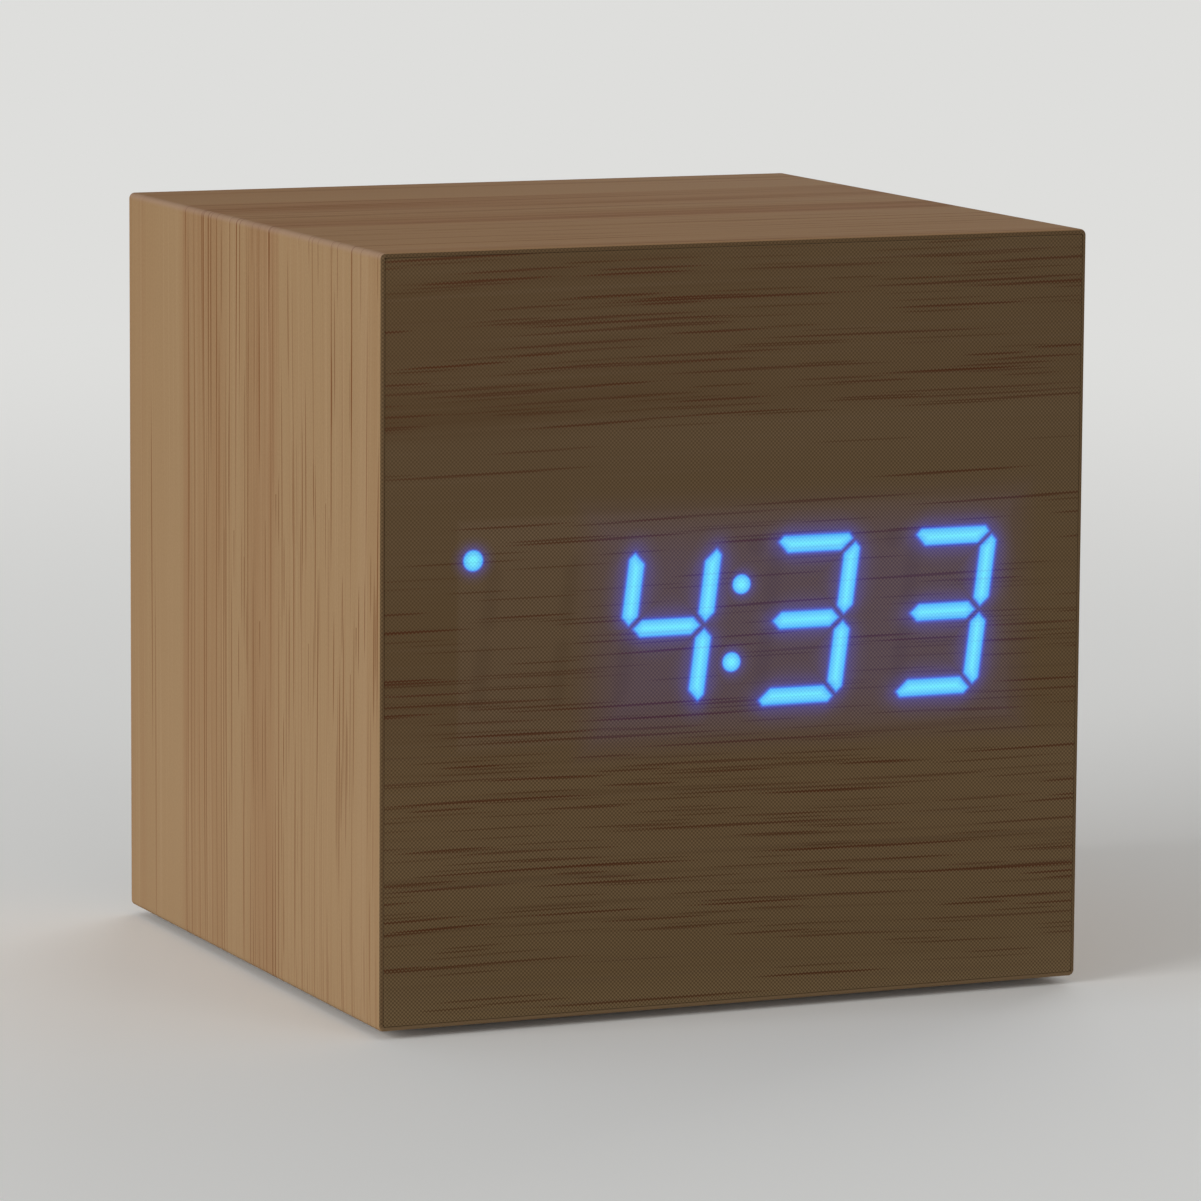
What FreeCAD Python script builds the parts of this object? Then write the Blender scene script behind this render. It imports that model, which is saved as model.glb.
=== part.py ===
import FreeCAD, Part
import math
import os
import re

import Sketcher
from FreeCAD import Placement, Rotation, Vector

# Cube alarm clock: a foil-wrapped board case with an LED clock module behind a printed front film.
# Millimetres. X runs left to right and Z up; the front face looks along -Y. The origin is on the
# table, under the middle of the case.

# Driving sizes: name, value, meaning
SIZES = (
    ("case_width", 64, "outside width of the case, left to right"),
    ("case_depth", 60, "outside depth, front face to back edge"),
    ("case_height", 64, "outside height, without the feet"),
    ("film_thickness", 0.3, "printed film on the boards"),
    ("film_return", 0.1, "how far the side film turns onto the front face"),
    ("film_seam", 0.05, "seam between the side film and the front film"),
    ("front_film_corner", 0.2, "corner radius of the front film"),
    ("long_edge_radius", 0.5, "outside radius of the four front-to-back edges"),
    ("front_edge_radius", 0.4, "outside radius of the edges round the front"),
    ("board_thickness", 4, "top, bottom, left and right boards"),
    ("front_board_thickness", 4, "board behind the front film"),
    ("window_gap", 0.2, "gap round the clock module in its window"),
    ("foot_diameter", 8, "foot pad"),
    ("foot_height", 0.7, "thickness of a foot pad"),
    ("foot_inset", 8, "foot centre to the outside of the case"),
    ("module_width", 50.3, "clock module, left to right"),
    ("module_height", 19, "clock module, bottom to top"),
    ("module_depth", 8, "clock module, face to back, with its carrier"),
    ("module_rise", 0.4, "middle of the module above the middle of the case"),
    ("carrier_thickness", 1, "carrier of the light chips, at the back of the module"),
    ("carrier_inset", 0.3, "how far the carrier's edge lies inside the housing's"),
    ("digit_pitch", 12.7, "digit to digit"),
    ("digit_height", 14.12, "lit height of a digit"),
    ("digit_width", 8.3, "lit width of a digit, before it is slanted"),
    ("digit_slant", 7.5, "slant of the digits in degrees"),
    ("digit_drop", 0.2, "middle of the digits below the middle of the module"),
    ("digit_shift", 0.15, "middle of the digits left of the middle of the module"),
    ("stroke_width", 1.38, "width of a segment"),
    ("segment_space", 0.33, "how far a segment's end keeps off the mitre line"),
    ("tip_clip", 0.46, "how much is cut off a segment's outer tip"),
    ("colon_diameter", 1.6, "colon dot"),
    ("colon_rise", 3.24, "colon dot above or below the middle of the digits"),
    ("mark_diameter", 1.7, "small round mark at the top left of each digit"),
    ("mark_rise", 6.4, "mark above the middle of the digits"),
    ("mark_left", 5.45, "mark left of the middle of its digit"),
    ("resin_gap", 0.05, "gap between a light cell's resin and its wall"),
    ("module_pin_diameter", 0.5, "pin of the clock module"),
    ("module_pin_pitch", 2.54, "pin to pin in a row"),
    ("module_pin_rows", 15.24, "row of pins to row of pins"),
    ("module_pin_tail", 1.2, "pin past the back of the main board"),
    ("main_board_inset", 0.15, "sides of the main circuit board inside those of the clock module"),
    ("main_board_height", 38, "main circuit board, bottom to top"),
    ("circuit_board_thickness", 1.6, "both circuit boards"),
    ("board_screw_inset", 3, "screw centre to the edges of the main board"),
    ("chip_length", 17.9, "clock chip, left to right"),
    ("chip_height", 7.5, "clock chip, bottom to top"),
    ("chip_depth", 2.3, "clock chip, off the board"),
    ("driver_length", 9.9, "segment driver, left to right"),
    ("driver_height", 3.9, "segment driver, bottom to top"),
    ("driver_depth", 1.6, "segment driver, off the board"),
    ("driver_spread", 16.5, "segment driver to the middle of the board"),
    ("leg_pitch", 1.27, "chip leg to chip leg"),
    ("leg_width", 0.42, "chip leg"),
    ("leg_thickness", 0.25, "chip leg"),
    ("leg_foot", 1.3, "chip leg, out from the chip"),
    ("leg_rise", 1.1, "chip leg, off the board"),
    ("crystal_diameter", 2.1, "quartz crystal can"),
    ("crystal_length", 6.2, "quartz crystal can"),
    ("crystal_inset", 6.4, "axis of the crystal to the top edge of the board"),
    ("capacitor_diameter", 6.3, "capacitor"),
    ("capacitor_length", 7.7, "capacitor"),
    ("capacitor_inset", 3.25, "capacitors to the bottom edge of the board"),
    ("buzzer_diameter", 12, "buzzer"),
    ("buzzer_height", 8.5, "buzzer"),
    ("buzzer_hole", 2.5, "sound hole of the buzzer"),
    ("buzzer_inset", 6, "buzzer to the right edge of the board"),
    ("buzzer_foot", 2.5, "buzzer to the bottom edge of the board"),
    ("resistor_length", 1.6, "chip resistor"),
    ("resistor_width", 0.8, "chip resistor"),
    ("resistor_height", 0.5, "chip resistor"),
    ("resistor_pitch", 2.2, "chip resistor to chip resistor"),
    ("resistor_inset", 3.7, "row of resistors to the top edge of the board"),
    ("spacer_diameter", 5, "spacer between the front board and the main board"),
    ("screw_diameter", 2.2, "shank of every screw"),
    ("screw_head_diameter", 4, "head of every screw"),
    ("screw_head_height", 1.3, "head of every screw"),
    ("screw_bite", 3, "depth of a board screw in the front board"),
    ("panel_screw_length", 8, "shank of a rear panel screw"),
    ("boss_screw_bite", 4.5, "depth of a button board screw in its boss"),
    ("thread_gap", 0.02, "gap round a screw in its pilot hole"),
    ("shank_gap", 0.2, "gap round a screw in a clearance hole"),
    ("cross_span", 2.3, "cross recess, tip to tip"),
    ("cross_width", 0.5, "cross recess, width of an arm"),
    ("cross_depth", 0.7, "cross recess"),
    ("block_size", 5.5, "corner block, across"),
    ("block_length", 10, "corner block, front to back"),
    ("panel_recess", 1, "rear panel behind the back edge of the case"),
    ("panel_thickness", 2, "rear panel"),
    ("panel_gap", 0.2, "gap round the rear panel"),
    ("panel_corner", 0.6, "corner radius of the rear panel"),
    ("head_recess", 1.4, "depth of the recess for a rear panel screw's head"),
    ("sound_hole_diameter", 1.2, "sound hole"),
    ("sound_hole_pitch", 3, "sound hole to sound hole"),
    ("bay_wall", 1.2, "walls and floor of the battery bay"),
    ("bay_block_gap", 0.8, "battery bay above the lower corner blocks"),
    ("cell_diameter", 10.5, "battery cell"),
    ("cell_length", 44.5, "battery cell with its nub"),
    ("cell_pitch", 10.9, "cell to cell"),
    ("cell_side_gap", 0.35, "outer cells to the walls of the bay"),
    ("cell_floor_gap", 0.1, "cells to the floor of the bay"),
    ("cell_cover_gap", 0.6, "cells to the battery door"),
    ("nub_diameter", 3.8, "positive nub of a cell"),
    ("nub_height", 1, "positive nub of a cell"),
    ("rib_width", 1, "ribs between the cells"),
    ("rib_height", 2, "ribs on the floor of the bay"),
    ("contact_thickness", 0.4, "contact plate"),
    ("contact_width", 8.5, "contact plate, across a cell"),
    ("contact_tab", 3, "width of a contact's solder tab"),
    ("contact_tab_reach", 1.5, "solder tab past the floor of the bay"),
    ("spring_room", 3.2, "room for a compressed contact spring"),
    ("spring_wire", 0.5, "wire of a contact spring"),
    ("spring_base", 6.4, "spring at the plate, between wire centres"),
    ("spring_tip", 4, "spring at the cell, between wire centres"),
    ("spring_turns", 3, "turns of a contact spring"),
    ("door_thickness", 1.6, "battery door"),
    ("door_lap", 0.9, "how far the door laps the walls of the bay"),
    ("door_gap", 0.3, "gap round the edge of the door"),
    ("door_seat_gap", 0.1, "gap behind the door"),
    ("hinge_pin_diameter", 1.2, "pin moulded on each lower corner of the door"),
    ("hinge_pin_length", 1, "pin moulded on each lower corner of the door"),
    ("hinge_gap", 0.1, "gap round a pin in its socket"),
    ("hinge_mouth", 1, "mouth that a pin snaps in through"),
    ("latch_width", 8, "latch lip of the door"),
    ("latch_thickness", 0.8, "latch lip of the door"),
    ("latch_reach", 2, "latch lip behind the door"),
    ("latch_bump", 0.2, "bump on the latch lip"),
    ("thumb_notch", 6, "diameter of the thumb notch over the door"),
    ("thumb_notch_depth", 0.9, "thumb notch"),
    ("grip_length", 9, "grip groove of the door"),
    ("grip_width", 0.7, "grip groove of the door"),
    ("grip_depth", 0.35, "grip groove of the door"),
    ("grip_pitch", 1.5, "grip groove to grip groove"),
    ("button_diameter", 5, "push button"),
    ("button_proud", 0.7, "button past the face of the rear panel"),
    ("button_gap", 0.2, "gap round a button, and over its flange"),
    ("button_flange_diameter", 6.6, "flange that keeps a button in"),
    ("button_flange_height", 0.8, "flange that keeps a button in"),
    ("button_stem_diameter", 4, "stem that presses the switch"),
    ("button_pitch", 7.5, "button to button"),
    ("button_row", 4.5, "middle button left of the middle of the case, from the front"),
    ("switch_side", 6, "push switch, square"),
    ("switch_height", 3.2, "push switch, without its cover"),
    ("switch_cover_thickness", 0.3, "steel cover of a switch"),
    ("plunger_diameter", 3.4, "plunger of a switch"),
    ("plunger_gap", 0.1, "gap round a plunger"),
    ("plunger_proud", 1.5, "plunger past the cover of its switch"),
    ("plunger_length", 3.6, "plunger of a switch"),
    ("switch_bore_depth", 2.4, "bore of a switch"),
    ("button_board_width", 41, "button circuit board, left to right"),
    ("button_board_gap", 0.95, "button circuit board to the bay below it and the case above it"),
    ("button_board_depth", 7, "button circuit board behind the rear panel"),
    ("boss_diameter", 4.4, "boss that carries the button board"),
    ("boss_spread", 18.2, "boss to the middle of the case"),
    ("jack_side", 6.5, "power inlet, square body"),
    ("jack_place", 12.5, "power inlet right of the middle of the case, from the front"),
    ("jack_nose_diameter", 5.6, "round nose of the power inlet"),
    ("jack_nose_length", 1.9, "round nose of the power inlet"),
    ("jack_nose_gap", 0.2, "gap round the nose in the rear panel"),
    ("jack_bore_diameter", 3.7, "bore of the power inlet"),
    ("jack_bore_depth", 6.4, "bore of the power inlet"),
    ("jack_pin_diameter", 1.3, "centre pin of the power inlet"),
    ("jack_pin_length", 8, "centre pin of the power inlet"),
    ("leaf_width", 2, "spring leaf in the bore of the power inlet"),
    ("leaf_thickness", 0.3, "spring leaf in the bore of the power inlet"),
    ("leaf_length", 4.7, "spring leaf in the bore of the power inlet"),
    ("lead_diameter", 1.1, "battery leads"),
    ("link_diameter", 1, "wires between the circuit boards"),
    ("link_pitch", 1.27, "wire to wire"),
    ("socket_width", 7.5, "wire socket"),
    ("socket_height", 4.5, "wire socket"),
    ("socket_depth", 5.7, "wire socket, off its board"),
    ("socket_pocket", 1, "pocket of a wire socket"),
    ("socket_rim", 0.4, "rim round the pocket of a wire socket"),
    ("main_socket_left", 10, "wire socket left of the middle of the main board"),
    ("main_socket_inset", 3.25, "wire socket to the top edge of the main board"),
    ("button_socket_left", 4, "wire socket left of the middle of the button board"),
    ("lead_spread", 13.5, "end of a battery lead to the middle of the button board"),
    ("lead_run", 7.5, "straight run of a battery lead at its ends"),
    ("link_run", 7.5, "straight run of the wires between the boards at their ends"),
)

# Sizes and places that follow from the driving ones
WORKED_OUT = {
    "film_inside_radius": "long_edge_radius - film_thickness",
    "board_chamfer": "front_edge_radius / 5",
    "carcass_width": "case_width - 2 * film_thickness",
    "carcass_height": "case_height - 2 * film_thickness",
    "carcass_depth": "case_depth - film_thickness",
    "cavity_width": "carcass_width - 2 * board_thickness",
    "cavity_height": "carcass_height - 2 * board_thickness",
    "case_middle": "foot_height + case_height / 2",
    "cavity_bottom": "case_middle - cavity_height / 2",
    "cavity_top": "case_middle + cavity_height / 2",
    "front_face": "-case_depth / 2",
    "back_edge": "case_depth / 2",
    "board_front": "front_face + film_thickness",
    "front_board_back": "board_front + front_board_thickness",
    "module_middle": "case_middle + module_rise",
    "housing_depth": "module_depth - carrier_thickness",
    "module_back": "board_front + module_depth",
    "main_board_width": "module_width - 2 * main_board_inset",
    "crystal_height": "main_board_height / 2 - crystal_inset",
    "capacitor_drop": "main_board_height / 2 - capacitor_inset - capacitor_diameter / 2",
    "buzzer_drop": "main_board_height / 2 - buzzer_foot - buzzer_diameter / 2",
    "resistor_rise": "main_board_height / 2 - resistor_inset - resistor_length / 2",
    "main_socket_rise": "main_board_height / 2 - main_socket_inset - socket_height / 2",
    "buzzer_right": "main_board_width / 2 - buzzer_inset - buzzer_diameter / 2",
    "main_board_back": "module_back + circuit_board_thickness",
    "spacer_length": "module_back - front_board_back",
    "main_screw_x": "main_board_width / 2 - board_screw_inset",
    "main_screw_z": "main_board_height / 2 - board_screw_inset",
    "pilot_diameter": "screw_diameter + 2 * thread_gap",
    "shank_hole_diameter": "screw_diameter + 2 * shank_gap",
    "panel_face": "back_edge - panel_recess",
    "panel_inside": "panel_face - panel_thickness",
    "panel_width": "cavity_width - 2 * panel_gap",
    "panel_height": "cavity_height - 2 * panel_gap",
    "corner_x": "cavity_width / 2 - block_size / 2",
    "corner_z": "cavity_height / 2 - block_size / 2",
    "bay_length": "cell_length + spring_room + 2 * contact_thickness",
    "bay_height": "2 * cell_pitch + cell_diameter + 2 * cell_side_gap",
    "bay_bottom": "cavity_bottom + block_size + bay_block_gap + bay_wall",
    "bay_top": "bay_bottom + bay_height",
    "bay_middle": "bay_bottom + bay_height / 2",
    "middle_cell": "bay_bottom + cell_side_gap + cell_diameter / 2 + cell_pitch",
    "door_inside": "panel_face - door_thickness",
    "cell_axis": "door_inside - cell_cover_gap - cell_diameter / 2",
    "bay_floor": "cell_axis - cell_diameter / 2 - cell_floor_gap",
    "bay_back": "bay_floor - bay_wall",
    "cell_start": "spring_room + contact_thickness - bay_length / 2",
    "hinge_y": "panel_face - door_thickness / 2",
    "hinge_z": "bay_bottom - door_lap + door_thickness / 2",
    "door_width": "bay_length + 2 * door_lap",
    "door_reach": "bay_top + door_lap - hinge_z",
    "rabbet_bottom": "hinge_z - door_thickness / 2 - door_gap",
    "rabbet_top": "bay_top + door_lap + door_gap",
    "socket_reach": "door_width / 2 + hinge_pin_length + door_gap",
    "strip_height": "cavity_top - panel_gap - bay_top - bay_wall",
    "strip_middle": "bay_top + bay_wall + strip_height / 2",
    "button_board_height": "strip_height - 2 * button_board_gap",
    "button_board_back": "panel_inside - button_board_depth",
    "button_board_front": "button_board_back - circuit_board_thickness",
    "switch_top": "button_board_back + switch_height + switch_cover_thickness",
    "plunger_tip": "switch_top + plunger_proud",
    "flange_start": "panel_inside - button_gap - button_flange_height - plunger_tip",
    "button_length": "panel_face + button_proud - plunger_tip",
    "jack_body_length": "panel_inside - button_board_back",
}

FRONT = "XZ_Plane"  # drawn as seen from the front; its normal is -Y
PLAN = "XY_Plane"
SIDE = "YZ_Plane"
TO_REAR = Rotation(Vector(0, 0, 1), 180)

doc = FreeCAD.newDocument("CubeAlarmClock")
sheet = doc.addObject("Spreadsheet::Sheet", "Sizes")
for row, (name, value, meaning) in enumerate(SIZES, start=1):
    sheet.set(f"A{row}", meaning)
    sheet.set(f"B{row}", str(value))
    sheet.setAlias(f"B{row}", name)
doc.recompute()

subparts = []


def formula(text):
    """Text with each worked-out size spelled out and each driving size read from its cell."""

    def spell(found):
        word = found.group()
        if word in WORKED_OUT:
            return "(" + formula(WORKED_OUT[word]) + ")"
        return "Sizes." + word

    return re.sub(r"[a-z]+_[a-z_]*[a-z]", spell, text)


def number(text):
    """What a formula gives now, for the outlines that are worked out point by point."""
    return float(sheet.evalExpression(formula(text)))


def bind(thing, field, text):
    thing.setExpression(field, formula(text))


def place(thing, x="0", y="0", z="0", turn=Rotation()):
    thing.Placement = Placement(Vector(), turn)
    for axis, text in zip("xyz", (x, y, z)):
        bind(thing, "Placement.Base." + axis, text)
    return thing


def subpart(thing, label):
    thing.Label = label
    subparts.append(thing)
    return thing


def new_body(label, several=False):
    body = doc.addObject("PartDesign::Body", "Body_" + label)
    body.AllowCompound = several
    return subpart(body, label)


def drawing(body, plane, at="0"):
    """A sketch on one of the body's own planes, moved to a place along the axis square to it."""
    sketch = body.newObject("Sketcher::SketchObject", "Sketch")
    origin_plane = next(f for f in body.Origin.OriginFeatures if f.Role == plane)
    sketch.AttachmentSupport = [(origin_plane, "")]
    sketch.MapMode = "FlatFace"
    bind(sketch, "AttachmentOffset.Base.z", f"-({at})" if plane == FRONT else at)
    return sketch


def pin_point(sketch, geometry, point, x, y):
    """Holds a point of a sketch at its distances from the sketch's origin."""
    for kind, text in (("DistanceX", x), ("DistanceY", y)):
        row = sketch.addConstraint(Sketcher.Constraint(kind, -1, 1, geometry, point, number(text)))
        bind(sketch, f"Constraints[{row}]", text)


def polygon(sketch, points):
    places = [Vector(number(x), number(y), 0) for x, y in points]
    following = places[1:] + places[:1]
    lines = [sketch.addGeometry(Part.LineSegment(*ends)) for ends in zip(places, following)]
    for line, following_line in zip(lines, lines[1:] + lines[:1]):
        sketch.addConstraint(Sketcher.Constraint("Coincident", line, 2, following_line, 1))
    for line, (x, y) in zip(lines, points):
        pin_point(sketch, line, 1, x, y)
    return sketch


def rectangle(sketch, width, height, x="0", y="0"):
    left, right = f"{x} - ({width}) / 2", f"{x} + ({width}) / 2"
    low, high = f"{y} - ({height}) / 2", f"{y} + ({height}) / 2"
    return polygon(sketch, [(left, low), (right, low), (right, high), (left, high)])


def circle(sketch, diameter, x="0", y="0"):
    centre = Vector(number(x), number(y), 0)
    ring = sketch.addGeometry(Part.Circle(centre, Vector(0, 0, 1), number(diameter) / 2))
    pin_point(sketch, ring, 3, x, y)
    row = sketch.addConstraint(Sketcher.Constraint("Diameter", ring, number(diameter)))
    bind(sketch, f"Constraints[{row}]", diameter)
    return sketch


def circles(sketch, diameter, spots):
    for x, y in spots:
        circle(sketch, diameter, x, y)
    return sketch


def cross(sketch, x, y):
    """The outline of a cross recess: an arm's corner and the two beside it, turned four times."""
    far, near = "cross_span / 2", "cross_width / 2"
    arm = [(far, near), (near, near), (near, far)]
    points = arm
    for _ in range(3):
        arm = [("-" + across if across[0] != "-" else across[1:], along) for along, across in arm]
        points = points + arm
    return polygon(sketch, [(f"{x} + ({a})", f"{y} + ({b})") for a, b in points])


def add(body, sketch, length, flip=False, both_ways=False):
    """Pads a sketch along its plane's normal, against it with flip, or half each way."""
    feature = body.newObject("PartDesign::Pad", "Pad")
    feature.Profile = sketch
    feature.Reversed = flip
    feature.SideType = "Symmetric" if both_ways else "One side"
    bind(feature, "Length", length)
    doc.recompute()
    return feature


def cut(body, sketch, length, flip=False, both_ways=False):
    """Pockets a sketch against its plane's normal, along it with flip, or half each way."""
    before = body.Shape.Volume
    feature = body.newObject("PartDesign::Pocket", "Pocket")
    feature.Profile = sketch
    feature.Reversed = flip
    feature.SideType = "Symmetric" if both_ways else "One side"
    bind(feature, "Length", length)
    doc.recompute()
    if body.Shape.Volume >= before:
        print(f"{body.Label}: a pocket cuts nothing")
    return feature


def spin(body, sketch, axis):
    feature = body.newObject("PartDesign::Revolution", "Revolution")
    feature.Profile = sketch
    feature.ReferenceAxis = (sketch, [axis])
    feature.Angle = 360
    doc.recompute()
    return feature


def edges_where(shape, test):
    return [f"Edge{i}" for i, edge in enumerate(shape.Edges, start=1) if test(edge)]


def runs_along(axis):
    def test(edge):
        if not isinstance(edge.Curve, Part.Line):
            return False
        return abs(edge.tangentAt(edge.FirstParameter).dot(axis)) > 0.999

    return test


def lies_at(axis, place_along):
    def test(edge):
        box = edge.BoundBox
        low, high = (getattr(box, axis + "Min"), getattr(box, axis + "Max"))
        return abs(low - place_along) < 1e-4 and abs(high - place_along) < 1e-4

    return test


def round_edges(body, test, radius):
    base = body.Tip
    feature = body.newObject("PartDesign::Fillet", "Fillet")
    feature.Base = (base, edges_where(base.Shape, test))
    bind(feature, "Radius", radius)
    doc.recompute()
    return feature


def bevel_edges(body, test, size):
    base = body.Tip
    feature = body.newObject("PartDesign::Chamfer", "Chamfer")
    feature.Base = (base, edges_where(base.Shape, test))
    bind(feature, "Size", size)
    doc.recompute()
    return feature


def block(label, width, depth, height):
    """A plain box whose sizes come from the sheet."""
    box = doc.addObject("Part::Box", "Box_" + label)
    for field, text in (("Length", width), ("Width", depth), ("Height", height)):
        bind(box, field, text)
    return box


def shaped(label, shape):
    """A sub-part whose shape is worked out here, already in its place."""
    thing = doc.addObject("Part::Feature", "Shape_" + label)
    thing.Shape = shape
    thing.Placement = Placement()
    return subpart(thing, label)


# Case: film, boards, corner blocks and feet


def wrap_film():
    """One strip of film round the four boards, turned a little onto the front face."""
    body = new_body("wrap_film")
    place(body, y="front_face", z="case_middle")
    add(body, rectangle(drawing(body, FRONT), "case_width", "case_height"), "case_depth", flip=True)
    round_edges(body, runs_along(Vector(0, 1, 0)), "long_edge_radius")
    round_edges(body, lies_at("Y", 0), "front_edge_radius")
    hollow = rectangle(drawing(body, FRONT, "case_depth"), "carcass_width", "carcass_height")
    cut(body, hollow, "carcass_depth", flip=True)
    reach = number("carcass_width / 2")

    def inner_corner(edge):
        point = edge.valueAt(edge.FirstParameter)
        return runs_along(Vector(0, 1, 0))(edge) and abs(abs(point.x) - reach) < 1e-4

    round_edges(body, inner_corner, "film_inside_radius")

    def inner_front(edge):
        inside = edge.BoundBox.XMax < reach + 1e-4 and edge.BoundBox.XMin > -reach - 1e-4
        return lies_at("Y", number("film_thickness"))(edge) and inside

    bevel_edges(body, inner_front, "board_chamfer")
    opening = rectangle(
        drawing(body, FRONT, "film_thickness"),
        "carcass_width - 2 * film_return",
        "carcass_height - 2 * film_return",
    )
    cut(body, opening, "film_thickness", flip=True)


def front_film():
    body = new_body("front_film")
    place(body, y="front_face", z="case_middle")
    sheet_outline = rectangle(
        drawing(body, FRONT),
        "carcass_width - 2 * film_return - 2 * film_seam",
        "carcass_height - 2 * film_return - 2 * film_seam",
    )
    add(body, sheet_outline, "film_thickness", flip=True)
    round_edges(body, runs_along(Vector(0, 1, 0)), "front_film_corner")


def carcass_blank():
    """The outside of the four boards together; each board is its own quarter of it."""
    body = doc.addObject("PartDesign::Body", "CarcassBlank")
    place(body, y="board_front", z="case_middle")
    outline = rectangle(drawing(body, FRONT), "carcass_width", "carcass_height")
    add(body, outline, "carcass_depth", flip=True)
    round_edges(body, runs_along(Vector(0, 1, 0)), "film_inside_radius")
    bevel_edges(body, lies_at("Y", 0), "board_chamfer")
    return body


def mitred_board(label, blank, length, x, z, turn):
    """One board of the folded case: a wedge with 45 degree ends, inside the blank's rounding."""
    wedge = doc.addObject("Part::Wedge", "Wedge_" + label)
    for field, text in (
        ("Xmin", f"-({length}) / 2"),
        ("Xmax", f"({length}) / 2"),
        ("X2min", f"board_thickness - ({length}) / 2"),
        ("X2max", f"({length}) / 2 - board_thickness"),
        ("Ymin", "0"),
        ("Ymax", "board_thickness"),
        ("Zmin", "0"),
        ("Z2min", "0"),
        ("Zmax", "carcass_depth"),
        ("Z2max", "carcass_depth"),
    ):
        bind(wedge, field, text)
    stand = Rotation(Vector(1, 0, 0), 90)
    place(wedge, x=x, y="back_edge", z=z, turn=Rotation(Vector(0, 1, 0), turn) * stand)
    board = doc.addObject("Part::Common", "Board_" + label)
    board.Base = blank
    board.Tool = wedge
    subpart(board, label)


def boards():
    blank = carcass_blank()
    low, high = "case_middle - carcass_height / 2", "case_middle + carcass_height / 2"
    left, right = "-carcass_width / 2", "carcass_width / 2"
    mitred_board("bottom_board", blank, "carcass_width", "0", low, 0)
    mitred_board("left_board", blank, "carcass_height", left, "case_middle", 90)
    mitred_board("top_board", blank, "carcass_width", "0", high, 180)
    mitred_board("right_board", blank, "carcass_height", right, "case_middle", 270)


def corners(x, z):
    return [(sx + x, sz + z) for sx in ("-", "") for sz in ("-", "")]


def front_board():
    body = new_body("front_board")
    place(body, y="board_front", z="case_middle")
    outline = rectangle(drawing(body, FRONT), "cavity_width", "cavity_height")
    add(body, outline, "front_board_thickness", flip=True)
    window = rectangle(
        drawing(body, FRONT, "front_board_thickness"),
        "module_width + 2 * window_gap",
        "module_height + 2 * window_gap",
        y="module_rise",
    )
    cut(body, window, "front_board_thickness", flip=True)
    spots = [(x, f"module_rise + {z}") for x, z in corners("main_screw_x", "main_screw_z")]
    pilots = circles(drawing(body, FRONT, "front_board_thickness"), "pilot_diameter", spots)
    cut(body, pilots, "screw_bite + shank_gap", flip=True)


def corner_blocks():
    """Four glued blocks that take the rear panel's screws."""
    body = new_body("corner_blocks", several=True)
    place(body, y="panel_inside", z="case_middle")
    sketch = drawing(body, FRONT)
    for x, z in corners("corner_x", "corner_z"):
        rectangle(sketch, "block_size", "block_size", x, z)
    add(body, sketch, "block_length")
    pilots = circles(drawing(body, FRONT), "pilot_diameter", corners("corner_x", "corner_z"))
    cut(body, pilots, "panel_screw_length", flip=True)


def foot_pads():
    body = new_body("foot_pads", several=True)
    spots = corners("(case_width / 2 - foot_inset)", "(case_depth / 2 - foot_inset)")
    add(body, circles(drawing(body, PLAN), "foot_diameter", spots), "foot_height")


# Screws, all of one kind: the head's underside at the body's own origin plane


def screws(label, spots, length, x="0", y="0", z="0", turn=Rotation()):
    body = new_body(label, several=True)
    place(body, x, y, z, turn)
    heads = circles(drawing(body, FRONT), "screw_head_diameter", spots)
    add(body, heads, "screw_head_height", flip=True)
    round_edges(body, lies_at("Y", number("screw_head_height")), "screw_head_height / 3")
    add(body, circles(drawing(body, FRONT), "screw_diameter", spots), length)
    sketch = drawing(body, FRONT, "screw_head_height")
    for spot in spots:
        cross(sketch, *spot)
    cut(body, sketch, "cross_depth", flip=True)


# Clock module


def segment_outlines():
    """The seven segments of an upright digit, as corner points about the digit's middle."""
    wide, high = number("digit_width / 2"), number("digit_height / 2")
    stroke, space, clip = number("stroke_width"), number("segment_space"), number("tip_clip")
    shoulder = wide - clip - space
    inner_end = (wide - stroke - space, high - stroke)
    right_end = [(shoulder - 0.8 * clip, high), (shoulder, high - clip), inner_end]
    top = [(-x, z) for x, z in reversed(right_end)] + right_end
    upper_right = [
        (wide - clip, high - clip - space),
        (wide, high - 2 * clip - space),
        (wide, space + stroke / 2),
        (wide - stroke / 2, space),
        (wide - stroke, space + stroke / 2),
        (wide - stroke, high - stroke - space),
    ]
    tip = wide - stroke / 2 - math.sqrt(2) * space
    flat = tip - stroke / 2
    half = stroke / 2
    middle = [(-tip, 0), (-flat, half), (flat, half), (tip, 0), (flat, -half), (-flat, -half)]
    return {
        "a": top,
        "b": upper_right,
        "c": [(x, -z) for x, z in upper_right],
        "d": [(x, -z) for x, z in top],
        "e": [(-x, -z) for x, z in upper_right],
        "f": [(-x, z) for x, z in upper_right],
        "g": middle,
    }


SEGMENTS_ON = {" ": "", "3": "abcdg", "4": "bcfg"}
SHOWN = " 433"  # the digits on the display, with a blank one at the left


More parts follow.
